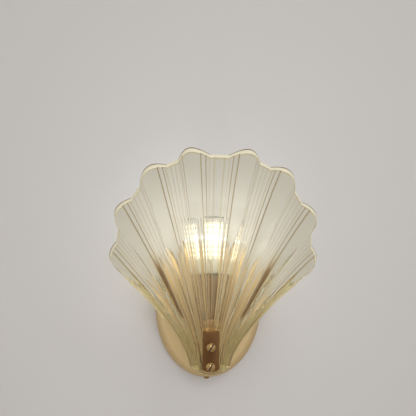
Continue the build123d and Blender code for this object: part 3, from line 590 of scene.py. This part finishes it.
def shell_place(size, across, up, front):
    """A point on the front or the back of the glass, cut flat where the clamp sits."""
    nudge = 0.01
    along = skeleton(size, across + nudge, up, 0) - skeleton(size, across - nudge, up, 0)
    below = max(up - nudge, 0.0)
    above = min(up + nudge, 1.0)
    upward = skeleton(size, across, above, 0) - skeleton(size, across, below, 0)
    outward = along.cross(upward).normalized()
    growth = THROAT_GROWTH + (1 - THROAT_GROWTH) * up
    thick = size.throat_thick + (size.rim_thick - size.throat_thick) * up
    phase = lobe_phase(across)
    place = skeleton(size, across, up, scallop(size, across))
    if front:
        rounding = math.sin(math.pi / 2 * max((phase - STEP_EDGE) / (1 - STEP_EDGE), 0.0))
        valley = 1 - ease(phase, *FIRST_STEP)
        reeding = valley * (1 - reed_place(across) ** 2) + LOBE_REED_SHARE * lobe_reed(across)
        reeding *= size.reed * ease(up, REEDS_FROM, REEDS_FULL)
        low = 1 - ease(up, FLAT_FROM, FLAT_AT)
        flute = FLUTE_SHARE * lobe_pitch(size, up) / LOW_FLUTES * (1 - flute_place(across) ** 2)
        raised = size.relief * step_up(across) + size.crown * rounding + reeding
        place += outward * (growth * raised + low * (LOW_CROWN * rounding + flute) + thick / 2)
        if abs(place.x) < SEAT_HALF and place.z < SEAT_TOP:
            place.y = max(place.y, -size.throat_front)
    else:
        raised = size.back_relief * ease(phase, BACK_FOOT, BACK_EDGE)
        place += outward * (growth * raised - thick / 2)
        if abs(place.x) < BACK_SEAT_HALF and place.z < BACK_SEAT_TOP:
            place.y = min(place.y, -SEAT_BACK)
    return place


def painted_shade_at(across, up):
    """How deep the painted shade is, from 0 on plain glass to 1 on the broad wall of the third lobe."""
    phase = lobe_phase(across)
    first, second = ease(phase, *FIRST_STEP), ease(phase, *SECOND_STEP)
    wall = 4 * max(first * (1 - first), second * (1 - second))
    groove = REED_GROOVE * (1 - first) * reed_place(across) ** REED_SHARPNESS
    low = 1 - ease(up, FLAT_FROM, FLAT_AT)
    depth = GROOVE_MEAN + GROOVE_VARY * math.cos(GROOVE_TURN * math.floor(LOW_FLUTES * abs(across)))
    flute = depth * low * flute_place(across) ** FLUTE_SHARPNESS
    away = (abs(across) - FOLD_PLACE) / FOLD_WIDTH
    fold = math.exp(-(away**2)) * ease(up, *FOLD_IN) * (1 - ease(up, *FOLD_OUT))
    side = SIDE_DEPTH * ease(abs(across), *SIDE_AMBER)
    throat = HONEY_AT * (1 - ease(up, *THROAT_FADE))
    line = BROWN_AT * math.sqrt(wall) * (1 - STEP_FADE * low)
    return max(line, groove * (1 - low), flute, fold, side, throat)


class SCONCE_OT_shade(bpy.types.Operator):
    """Builds the fluted glass shell with its flat clamp seats"""

    bl_idname = "sconce.shade"
    bl_label = "Glass shell"

    def execute(self, context):
        size = context.scene.sconce_shade
        mesh = bmesh.new()
        amber = mesh.verts.layers.float.new("amber")
        outer_rim = mesh.verts.layers.float.new("outer_rim")
        bmesh.ops.create_grid(
            mesh,
            x_segments=round(2 * LOBES_A_SIDE * ACROSS_A_LOBE),
            y_segments=UP_STEPS,
            size=1.0,
        )
        grown = bmesh.ops.extrude_face_region(mesh, geom=mesh.faces[:])
        fronts = {item for item in grown["geom"] if isinstance(item, bmesh.types.BMVert)}
        at_rim = {vert for vert in mesh.verts if vert.co.y > 1 - ON_BORDER}
        at_foot = {vert for vert in mesh.verts if vert.co.y < -1 + ON_BORDER}
        at_side = {vert for vert in mesh.verts if abs(vert.co.x) > 1 - ON_BORDER}
        for face in mesh.faces:
            ground = any(border.issuperset(face.verts) for border in (at_rim, at_foot, at_side))
            face.material_index = 1 if ground else 0
        for vert in mesh.verts:
            across = LOBES_A_SIDE * vert.co.x
            up = (vert.co.y + 1) / 2
            if vert not in at_rim and up > LAST_ROW_FROM:
                up = LAST_ROW
            # The amber and outer_rim attributes carry the glass's painted shade to its materials.
            if vert in fronts:
                vert[amber] = painted_shade_at(across, up)
            if vert in at_side:
                vert[outer_rim] = SIDE_TAN
            if vert in at_rim:
                vert[amber] = max(vert[amber], RIM_AMBER)
                lobe = lobe_phase(across) > RIM_LINE_PHASE
                vert[outer_rim] = 1.0 if lobe and vert not in fronts else 0.0
            vert.co = shell_place(size, across, up, vert in fronts)
        if not all(edge.is_manifold for edge in mesh.edges):
            raise RuntimeError("the glass shell isn't closed")
        bmesh.ops.recalc_face_normals(mesh, faces=mesh.faces)
        # The shell's borders lie between its end faces, which join front and back, and the surfaces.
        ends = {
            face
            for face in mesh.faces
            if 0 < len(fronts.intersection(face.verts)) < len(face.verts)
        }
        borders = [edge for edge in mesh.edges if sum(face in ends for face in edge.link_faces) == 1]
        bmesh.ops.bevel(
            mesh,
            geom=borders,
            offset=GLASS_SOFT,
            segments=2,
            affect="EDGES",
            profile=0.5,
            material=-1,
        )
        shell = finish_piece(
            mesh, "glass_shell", finish("glass"), FIXED, ["shell_shade"]
        )
        shell.data.materials.append(finish("rim"))
        return {"FINISHED"}


# ---------------------------------------------------------------- backplate
PAN_STEPS = 128
PAN_SHOULDER = 9.0 * MM
PAN_WALL = 1.2 * MM
SHOULDER_STEPS = 14
# The flat inner field: how far it lies in from the pan's edge and rises from its band, how round its
# border is, and how far inside that it starts to fall away.
FIELD_INSET = 10.5 * MM
FIELD_RISE = 1.0 * MM
FIELD_SOFT = 0.5 * MM
FIELD_FALL = 0.8 * MM
# How far the middle of a rounded corner lies in from its sides, as a share of the radius.
ROUND_CORNER = 0.3


class SCONCE_OT_backplate(bpy.types.Operator):
    """Builds the oval pan with its rounded shoulder and hollow back"""

    bl_idname = "sconce.backplate"
    bl_label = "Backplate"

    def execute(self, context):
        low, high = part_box("backplate")
        half_x = (high.x - low.x) / 2
        half_z = (high.z - low.z) / 2
        depth = high.y - low.y
        band = depth - FIELD_RISE
        turns = [math.pi / 2 * step / SHOULDER_STEPS for step in range(SHOULDER_STEPS + 1)]
        outside = [
            (PAN_SHOULDER * (1 - math.cos(turn)), band - PAN_SHOULDER * (1 - math.sin(turn)))
            for turn in turns
        ]
        inner_r = PAN_SHOULDER - PAN_WALL
        inside = [
            (PAN_SHOULDER - inner_r * math.cos(turn), band - PAN_SHOULDER + inner_r * math.sin(turn))
            for turn in turns
        ]
        field = [
            (FIELD_INSET + FIELD_SOFT + FIELD_FALL, depth),
            (FIELD_INSET + FIELD_SOFT * ROUND_CORNER, depth - FIELD_SOFT * ROUND_CORNER),
            (FIELD_INSET, depth - FIELD_SOFT),
            (FIELD_INSET, band),
        ]
        under = FIELD_INSET + PAN_WALL
        hollow = [(under, band - PAN_WALL), (under, depth - PAN_WALL)]
        rings = field + outside[::-1] + [(0.0, 0.0), (PAN_WALL, 0.0)] + inside + hollow
        mesh = bmesh.new()
        turn_of = mesh.verts.layers.float.new("turn")
        verts = bmesh.ops.create_circle(mesh, segments=PAN_STEPS, radius=1.0, cap_ends=True)["verts"]
        for vert in verts:
            vert[turn_of] = math.atan2(vert.co.y, vert.co.x)
        edges = mesh.edges[:]
        for count, (inset, out) in enumerate(rings):
            if count:
                grown = bmesh.ops.extrude_edge_only(mesh, edges=edges)["geom"]
                verts = [item for item in grown if isinstance(item, bmesh.types.BMVert)]
                edges = [item for item in grown if isinstance(item, bmesh.types.BMEdge)]
            for vert in verts:
                vert.co.x = (half_x - inset) * math.cos(vert[turn_of])
                vert.co.z = (half_z - inset) * math.sin(vert[turn_of])
                vert.co.y = -out
        bmesh.ops.edgeloop_fill(mesh, edges=edges)
        bmesh.ops.recalc_face_normals(mesh, faces=mesh.faces)
        finish_piece(
            mesh, "oval_pan", finish("satin_brass"), FIXED, ["backplate"], sharp_deg=40
        )
        return {"FINISHED"}


# ---------------------------------------------------------------- lampholder
# The sleeve's sheet, the hole in its floor, and how far its edges are softened.
SLEEVE_WALL = 0.8 * MM
NIPPLE_HOLE_R = 5.3 * MM
SLEEVE_SOFT = 0.3 * MM


class SCONCE_OT_holder(bpy.types.Operator):
    """Builds the brass holder sleeve, with softly turned edges"""

    bl_idname = "sconce.holder"
    bl_label = "Holder sleeve"

    def execute(self, context):
        low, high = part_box("holder_sleeve")
        radius = (high.x - low.x) / 2
        centre = Vector((0, (low.y + high.y) / 2, 0))
        corner = 2 * SLEEVE_SOFT * ROUND_CORNER
        profile = [
            (NIPPLE_HOLE_R, low.z),
            (radius - 2 * SLEEVE_SOFT, low.z),
            (radius - corner, low.z + corner),
            (radius, low.z + 2 * SLEEVE_SOFT),
            (radius, high.z - SLEEVE_SOFT),
            (radius - SLEEVE_SOFT, high.z),
            (radius - SLEEVE_WALL, high.z - SLEEVE_SOFT),
            (radius - SLEEVE_WALL, low.z + SLEEVE_WALL),
            (NIPPLE_HOLE_R, low.z + SLEEVE_WALL),
            (NIPPLE_HOLE_R, low.z),
        ]
        mesh = turned_mesh(profile, centre)
        finish_piece(
            mesh, "holder_tube", finish("brass"), FIXED, ["holder_sleeve"], sharp_deg=40
        )
        return {"FINISHED"}


# ---------------------------------------------------------------- clamp on the throat
# Where the plate's straight sides end and its curved foot starts, and how wide its bevel is.
CLAMP_CORNER_Z = -53.3 * MM
CLAMP_ARC_STEPS = 10
CLAMP_SOFT = 0.7 * MM


class SCONCE_OT_clamp(bpy.types.Operator):
    """Builds the clamp plate with its curved foot and soft edges"""

    bl_idname = "sconce.clamp"
    bl_label = "Clamp plate"

    def execute(self, context):
        low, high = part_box("clamp_plate")
        half = high.x
        drop = CLAMP_CORNER_Z - low.z
        foot_r = (half**2 + drop**2) / (2 * drop)
        swing = math.asin(half / foot_r)
        outline = [(-half, high.z), (half, high.z)]
        for step in range(CLAMP_ARC_STEPS + 1):
            turn = swing * (1 - 2 * step / CLAMP_ARC_STEPS)
            outline.append((foot_r * math.sin(turn), low.z + foot_r * (1 - math.cos(turn))))
        mesh = bmesh.new()
        face = mesh.faces.new([mesh.verts.new((x, high.y, z)) for x, z in outline])
        grown = bmesh.ops.extrude_face_region(mesh, geom=[face])["geom"]
        fronts = [item for item in grown if isinstance(item, bmesh.types.BMVert)]
        bmesh.ops.translate(mesh, verts=fronts, vec=(0, low.y - high.y, 0))
        bmesh.ops.recalc_face_normals(mesh, faces=mesh.faces)
        before = high.y - SAME_PLACE
        front_edges = [edge for edge in mesh.edges if all(v.co.y < before for v in edge.verts)]
        bmesh.ops.bevel(
            mesh,
            geom=front_edges,
            offset=CLAMP_SOFT,
            segments=4,
            affect="EDGES",
            profile=0.5,
            material=-1,
        )
        finish_piece(
            mesh, "clamp_front", finish("dark_brass"), FIXED, ["clamp_plate"], sharp_deg=50
        )
        return {"FINISHED"}


# ---------------------------------------------------------------- lamp
# The diodes on the column: how wide one is and how far it stands out, their pitch, and their rows.
CHIP = 2.6 * MM
CHIP_RISE = 0.7 * MM
CHIP_PITCH = 5.0 * MM
CHIP_ROWS = 7
COLUMN_SIDES = 8
# The clear cover: its wall, its shoulder's radius, and how thick its foot is and how far that laps
# over the collar.
COVER_WALL = 1.0 * MM
COVER_SHOULDER = 6.0 * MM
COVER_FOOT = 1.5 * MM
COVER_LAP = 1.0 * MM
COVER_STEPS = 8


class SCONCE_OT_lamp(bpy.types.Operator):
    """Builds the lamp's clear cover and the lit diodes on its column"""

    bl_idname = "sconce.lamp"
    bl_label = "Lamp"

    def execute(self, context):
        low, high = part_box("lamp_column")
        centre = Vector((0, (low.y + high.y) / 2, 0))
        radius = (high.x - low.x) / 2
        flat = radius * math.cos(math.pi / COLUMN_SIDES)
        mesh = bmesh.new()
        for side in range(COLUMN_SIDES):
            turn = Matrix.Rotation(2 * math.pi / COLUMN_SIDES * (side + 0.5), 4, "Z")
            for row in range(CHIP_ROWS):
                up = low.z + (high.z - low.z) / 2 + (row - (CHIP_ROWS - 1) / 2) * CHIP_PITCH
                for shift in (-CHIP_PITCH / 2, CHIP_PITCH / 2):
                    place = Matrix.Translation((flat + CHIP_RISE / 2, shift, up))
                    size = Matrix.Diagonal((CHIP_RISE, CHIP, CHIP, 1))
                    bmesh.ops.create_cube(
                        mesh, size=1.0, matrix=Matrix.Translation(centre) @ turn @ place @ size
                    )
        finish_piece(mesh, "diode_chips", finish("phosphor"), LAMP, [], smooth=False)

        low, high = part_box("lamp_cover")
        radius = (high.x - low.x) / 2
        collar_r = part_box("lamp_collar")[1].x - COVER_LAP
        turns = [math.pi / 2 * step / COVER_STEPS for step in range(COVER_STEPS + 1)]
        bend = radius - COVER_SHOULDER
        inner = COVER_SHOULDER - COVER_WALL
        dome = high.z - COVER_SHOULDER
        profile = [(collar_r, low.z), (radius, low.z)]
        profile += [
            (bend + COVER_SHOULDER * math.cos(turn), dome + COVER_SHOULDER * math.sin(turn))
            for turn in turns
        ]
        profile += [(0, high.z), (0, high.z - COVER_WALL)]
        profile += [
            (bend + inner * math.cos(turn), dome + inner * math.sin(turn)) for turn in turns[::-1]
        ]
        foot = low.z + COVER_FOOT
        profile += [(radius - COVER_WALL, foot), (collar_r, foot), (collar_r, low.z)]
        mesh = turned_mesh(profile, centre)
        finish_piece(
            mesh, "clear_cover", finish("cover"), LAMP, ["lamp_cover"], sharp_deg=45
        )
        return {"FINISHED"}


# ---------------------------------------------------------------- fittings
# What is shown smooth, from a merged copy of its solid.
SMOOTH_FITTINGS = {
    "arm_screw_lower": ("turned", FIXED, "brass"),
    "arm_screw_upper": ("turned", FIXED, "brass"),
    "bracket_arm": ("brass", FIXED, "brass"),
    "clamp_screw_lower": ("turned", FIXED, "brass"),
    "clamp_screw_upper": ("turned", FIXED, "brass"),
    "lamp_cap": ("nickel", LAMP, "nickel_cap"),
    "lamp_collar": ("collar", LAMP, "white_plastic"),
    "lead_bushing": ("nylon", FIXED, "white_nylon"),
    "lead_earth": ("green", FIXED, "green_lead"),
    "lead_live": ("brown", FIXED, "brown_lead"),
    "lead_neutral": ("blue", FIXED, "blue_lead"),
    "pan_screw_bottom": ("turned", FIXED, "brass"),
    "pan_screw_top": ("turned", FIXED, "brass"),
}

# The slots of the clamp screws: the angle of each, and how far a face of its walls or floor may lie
# from its middle line and behind the head's front.
SLOT_ANGLE = {"clamp_screw_upper": math.radians(62.0), "clamp_screw_lower": math.radians(66.0)}
SLOT_HALF = 0.75 * MM
SLOT_DEEP = 1.49 * MM


def paint_slot_shade(mesh, angle):
    """Marks the walls and floor of a screw's slot for the second material, its painted shade."""
    low = Vector(min(vert.co[axis] for vert in mesh.verts) for axis in range(3))
    high = Vector(max(vert.co[axis] for vert in mesh.verts) for axis in range(3))
    middle = (low + high) / 2
    across = Vector((-math.sin(angle), 0, math.cos(angle)))
    for face in mesh.faces:
        spot = face.calc_center_median()
        if abs((spot - middle).dot(across)) < SLOT_HALF and spot.y - low.y < SLOT_DEEP:
            face.material_index = 1


class SCONCE_OT_fittings(bpy.types.Operator):
    """Gives the arm, screws, leads and inner pieces their finishes"""

    bl_idname = "sconce.fittings"
    bl_label = "Fittings"

    def execute(self, context):
        for name, (look, body, slot) in SMOOTH_FITTINGS.items():
            mesh = bmesh.new()
            mesh.from_mesh(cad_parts[name].data)
            bmesh.ops.remove_doubles(mesh, verts=mesh.verts, dist=SAME_PLACE)
            if name in SLOT_ANGLE:
                paint_slot_shade(mesh, SLOT_ANGLE[name])
            piece = finish_piece(mesh, name + "_smooth", finish(look), body, [name], sharp_deg=32)
            if name in SLOT_ANGLE:
                piece.data.materials.append(finish("slot_shade"))
        for name, look in NODE_FINISH.items():
            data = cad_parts[name].data
            data.materials.clear()
            data.materials.append(finish(look))
        return {"FINISHED"}


# ---------------------------------------------------------------- stage
# The camera: its place, its turn and tilt, and its lens and sensor in millimetres.
CAMERA_PLACE = (-0.043, -0.775, 0.108)
CAMERA_YAW = math.radians(3.0)
CAMERA_ROLL = math.radians(1.37)
CAMERA_LENS = 60.58
CAMERA_SENSOR = 36.0
# The wall, a little behind the pan and reaching in behind its edge, and the floor.
WALL_SIZE = 3.0
WALL_BACK = 0.2 * MM
WALL_LAP = 1.0 * MM
WALL_OPENING_STEPS = 64
FLOOR_Z = -0.36
FLOOR_DEPTH = 1.05
# The dimmer side of the room, opposite the wall: its direction and how wide it is, and the light that
# comes from it and from the rest of the room.
DIM_SIDE = (0.0, -0.98, -0.2)
DIM_EDGE = 0.978
DIM_MIDDLE = 0.994
DIM_SHINE = (0.5, 0.46, 0.41, 1)
ROOM_SHINE = (0.83, 0.825, 0.82, 1)
# A window high on the right, and a wide soft beam from the room, brightest round the sconce.
WINDOW_PLACE = (0.55, -0.8, 0.9)
WINDOW_AIM = (0, 0, 0.03)
WINDOW_SIZE = 0.3
WINDOW_POWER = 1.0
BEAM_PLACE = (0.1, -1.5, 0.5)
BEAM_AIM = (0, 0, 0.04)
BEAM_ANGLE = math.radians(27.5)
BEAM_RADIUS = 0.3
BEAM_POWER = 29.0
BEAM_COLOUR = (0.96, 0.98, 1.0)
# Light that leaves the lamp's cover to all sides, from a ring of small lights inside it.
LAMP_OUT = 43.0 * MM
LAMP_LIGHT_Z = 77.0 * MM
LAMP_LIGHT_RING = 14.3 * MM
LAMP_LIGHT_TURNS = (0.8, 2.4, 3.9, 5.5)
LAMP_LIGHT_RADIUS = 1.0 * MM
LAMP_LIGHT_POWER = 0.066
LAMP_LIGHT_COLOUR = (0.94, 0.97, 1.0)


def stage_sheet(name, corners, material):
    """A flat sheet of the stage."""
    mesh = bmesh.new()
    mesh.faces.new([mesh.verts.new(corner) for corner in corners])
    stage_piece(name, mesh, material)


def stage_piece(name, mesh, material):
    """Turns a bmesh into a piece of the stage."""
    data = bpy.data.meshes.new(name)
    mesh.to_mesh(data)
    mesh.free()
    data.materials.append(material)
    sheet = bpy.data.objects.new(name, data)
    bpy.context.scene.collection.objects.link(sheet)


def room_wall(wide, material):
    """The wall, open behind the pan, so that the pan's inside is lit when it is seen from behind."""
    low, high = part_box("backplate")
    mesh = bmesh.new()
    turn_of = mesh.verts.layers.float.new("turn")
    ring = bmesh.ops.create_circle(mesh, segments=WALL_OPENING_STEPS, radius=1.0)["verts"]
    for vert in ring:
        vert[turn_of] = math.atan2(vert.co.y, vert.co.x)
    grown = bmesh.ops.extrude_edge_only(mesh, edges=mesh.edges[:])["geom"]
    outer = {item for item in grown if isinstance(item, bmesh.types.BMVert)}
    for vert in mesh.verts:
        x, z = math.cos(vert[turn_of]), math.sin(vert[turn_of])
        if vert in outer:
            reach = max(abs(x), abs(z))
            up = (wide + FLOOR_Z + (wide - FLOOR_Z) * z / reach) / 2
            vert.co = (wide * x / reach, WALL_BACK, up)
        else:
            up = (low.z + high.z) / 2 + (high.z - WALL_LAP) * z
            vert.co = ((high.x - WALL_LAP) * x, WALL_BACK, up)
    for face in mesh.faces:
        face.normal_update()
        if face.normal.y > 0:
            face.normal_flip()
    stage_piece("room_wall", mesh, material)


def place_light(light, place, aim):
    """Hangs a light at a place, pointed at an aim."""
    lamp = bpy.data.objects.new(light.name, light)
    lamp.location = place
    lamp.rotation_euler = (Vector(aim) - lamp.location).to_track_quat("-Z", "Y").to_euler()
    bpy.context.scene.collection.objects.link(lamp)


class SCONCE_OT_stage(bpy.types.Operator):
    """Builds the wall, the floor, the light and the camera"""

    bl_idname = "sconce.stage"
    bl_label = "Stage"

    def execute(self, context):
        scene = context.scene
        # Matt wall paint, seen from the room only.
        paint, tree, output = new_material("Matt wall paint")
        matt = node(tree, "ShaderNodeBsdfDiffuse", {"Color": (*scene.sconce_finishes.wall, 1)})
        clear = node(tree, "ShaderNodeBsdfTransparent")
        facing = node(tree, "ShaderNodeNewGeometry")
        mix = node(
            tree,
            "ShaderNodeMixShader",
            links={0: facing.outputs["Backfacing"], 1: matt.outputs[0], 2: clear.outputs[0]},
        )
        tree.links.new(mix.outputs[0], output.inputs["Surface"])
        wide = WALL_SIZE / 2
        room_wall(wide, paint)
        # Pale floor paint, below the picture: it throws light up at the glass.
        pale = moulded("Pale floor paint", linear(0xE4E0DA), roughness=0.7)
        stage_sheet(
            "room_floor",
            [
                (-wide, -FLOOR_DEPTH, FLOOR_Z),
                (wide, -FLOOR_DEPTH, FLOOR_Z),
                (wide, WALL_BACK, FLOOR_Z),
                (-wide, WALL_BACK, FLOOR_Z),
            ],
            pale,
        )

        world = bpy.data.worlds.new("Room")
        world.use_nodes = True
        tree = world.node_tree
        tree.nodes.clear()
        output = node(tree, "ShaderNodeOutputWorld")
        place = node(tree, "ShaderNodeTexCoord")
        toward = node(
            tree,
            "ShaderNodeVectorMath",
            {"operation": "DOT_PRODUCT", 1: DIM_SIDE},
            {0: place.outputs["Generated"]},
        )
        room = node(
            tree,
            "ShaderNodeMapRange",
            {"From Min": DIM_EDGE, "From Max": DIM_MIDDLE, "To Min": 0.0, "To Max": 1.0},
            {"Value": toward.outputs["Value"]},
        )
        shade = node(
            tree,
            "ShaderNodeMix",
            {"data_type": "RGBA", 6: ROOM_SHINE, 7: DIM_SHINE},
            {0: room.outputs[0]},
        )
        # The room lights and is mirrored with its dimmer side. Looked at, also through the glass, it is
        # plain.
        path = node(tree, "ShaderNodeLightPath")
        seen = node(
            tree,
            "ShaderNodeMath",
            {"operation": "MAXIMUM"},
            {0: path.outputs["Is Camera Ray"], 1: path.outputs["Is Transmission Ray"]},
        )
        around = node(tree, "ShaderNodeBackground", {"Strength": 1.0}, {"Color": shade.outputs[2]})
        plain = node(tree, "ShaderNodeBackground", {"Color": linear(0xD0CECC), "Strength": 1.0})
        both = node(
            tree,
            "ShaderNodeMixShader",
            links={0: seen.outputs[0], 1: around.outputs[0], 2: plain.outputs[0]},
        )
        tree.links.new(both.outputs[0], output.inputs["Surface"])
        scene.world = world

        fill = scene.sconce_settings.fill_strength
        window = bpy.data.lights.new("window_light", "AREA")
        window.shape = "SQUARE"
        window.size = WINDOW_SIZE
        window.energy = WINDOW_POWER * fill
        place_light(window, WINDOW_PLACE, WINDOW_AIM)
        beam = bpy.data.lights.new("room_beam", "SPOT")
        beam.energy = BEAM_POWER * fill
        beam.spot_size = BEAM_ANGLE
        beam.spot_blend = 1.0
        beam.color = BEAM_COLOUR
        beam.shadow_soft_size = BEAM_RADIUS
        place_light(beam, BEAM_PLACE, BEAM_AIM)
        for turn in LAMP_LIGHT_TURNS:
            glow = bpy.data.lights.new("lamp_light", "POINT")
            glow.energy = LAMP_LIGHT_POWER
            glow.color = LAMP_LIGHT_COLOUR
            glow.shadow_soft_size = LAMP_LIGHT_RADIUS
            x = LAMP_LIGHT_RING * math.cos(turn)
            y = LAMP_LIGHT_RING * math.sin(turn) - LAMP_OUT
            place_light(glow, (x, y, LAMP_LIGHT_Z), (0, 0, 0))

        lens = bpy.data.cameras.new("camera")
        lens.lens = CAMERA_LENS
        lens.sensor_width = CAMERA_SENSOR
        camera = bpy.data.objects.new("camera", lens)
        ahead = Vector((math.sin(CAMERA_YAW), math.cos(CAMERA_YAW), 0))
        right = Vector((math.cos(CAMERA_YAW), -math.sin(CAMERA_YAW), 0))
        above = Vector((0, 0, 1))
        across = right * math.cos(CAMERA_ROLL) + above * math.sin(CAMERA_ROLL)
        upward = above * math.cos(CAMERA_ROLL) - right * math.sin(CAMERA_ROLL)
        turn = Matrix((across, upward, -ahead)).transposed().to_4x4()
        camera.matrix_world = Matrix.Translation(CAMERA_PLACE) @ turn
        scene.collection.objects.link(camera)
        scene.camera = camera
        scene.view_settings.view_transform = "Standard"
        return {"FINISHED"}


# ---------------------------------------------------------------- panel and registration
class SCONCE_PT_panel(bpy.types.Panel):
    """Lists the sconce's pieces and their sizes"""

    bl_idname = "SCONCE_PT_panel"
    bl_label = "Shell wall sconce"
    bl_space_type = "VIEW_3D"
    bl_region_type = "UI"
    bl_category = "Sconce"

    def draw(self, context):
        scene = context.scene
        for group in (scene.sconce_shade, scene.sconce_finishes, scene.sconce_settings):
            box = self.layout.box()
            for name in group.__annotations__:
                box.prop(group, name)
        for operator in OPERATORS:
            self.layout.operator(operator.bl_idname)


OPERATORS = (
    SCONCE_OT_stage,
    SCONCE_OT_shade,
    SCONCE_OT_backplate,
    SCONCE_OT_holder,
    SCONCE_OT_clamp,
    SCONCE_OT_lamp,
    SCONCE_OT_fittings,
)
GROUPS = {"sconce_shade": ShadeSizes, "sconce_finishes": Finishes, "sconce_settings": SconceSettings}


def register():
    """Registers the classes and hangs the settings on the scene."""
    for made in (*GROUPS.values(), *OPERATORS, SCONCE_PT_panel):
        bpy.utils.register_class(made)
    for name, group in GROUPS.items():
        setattr(bpy.types.Scene, name, bpy.props.PointerProperty(type=group))


def unregister():
    """Takes back what register did."""
    for name in GROUPS:
        delattr(bpy.types.Scene, name)
    for made in (SCONCE_PT_panel, *OPERATORS[::-1], *GROUPS.values()):
        bpy.utils.unregister_class(made)


def main():
    """Builds the whole sconce."""
    register()
    bpy.ops.sconce.stage()
    bpy.ops.sconce.shade()
    bpy.ops.sconce.backplate()
    bpy.ops.sconce.holder()
    bpy.ops.sconce.clamp()
    bpy.ops.sconce.lamp()
    bpy.ops.sconce.fittings()


if __name__ == "__main__":
    main()
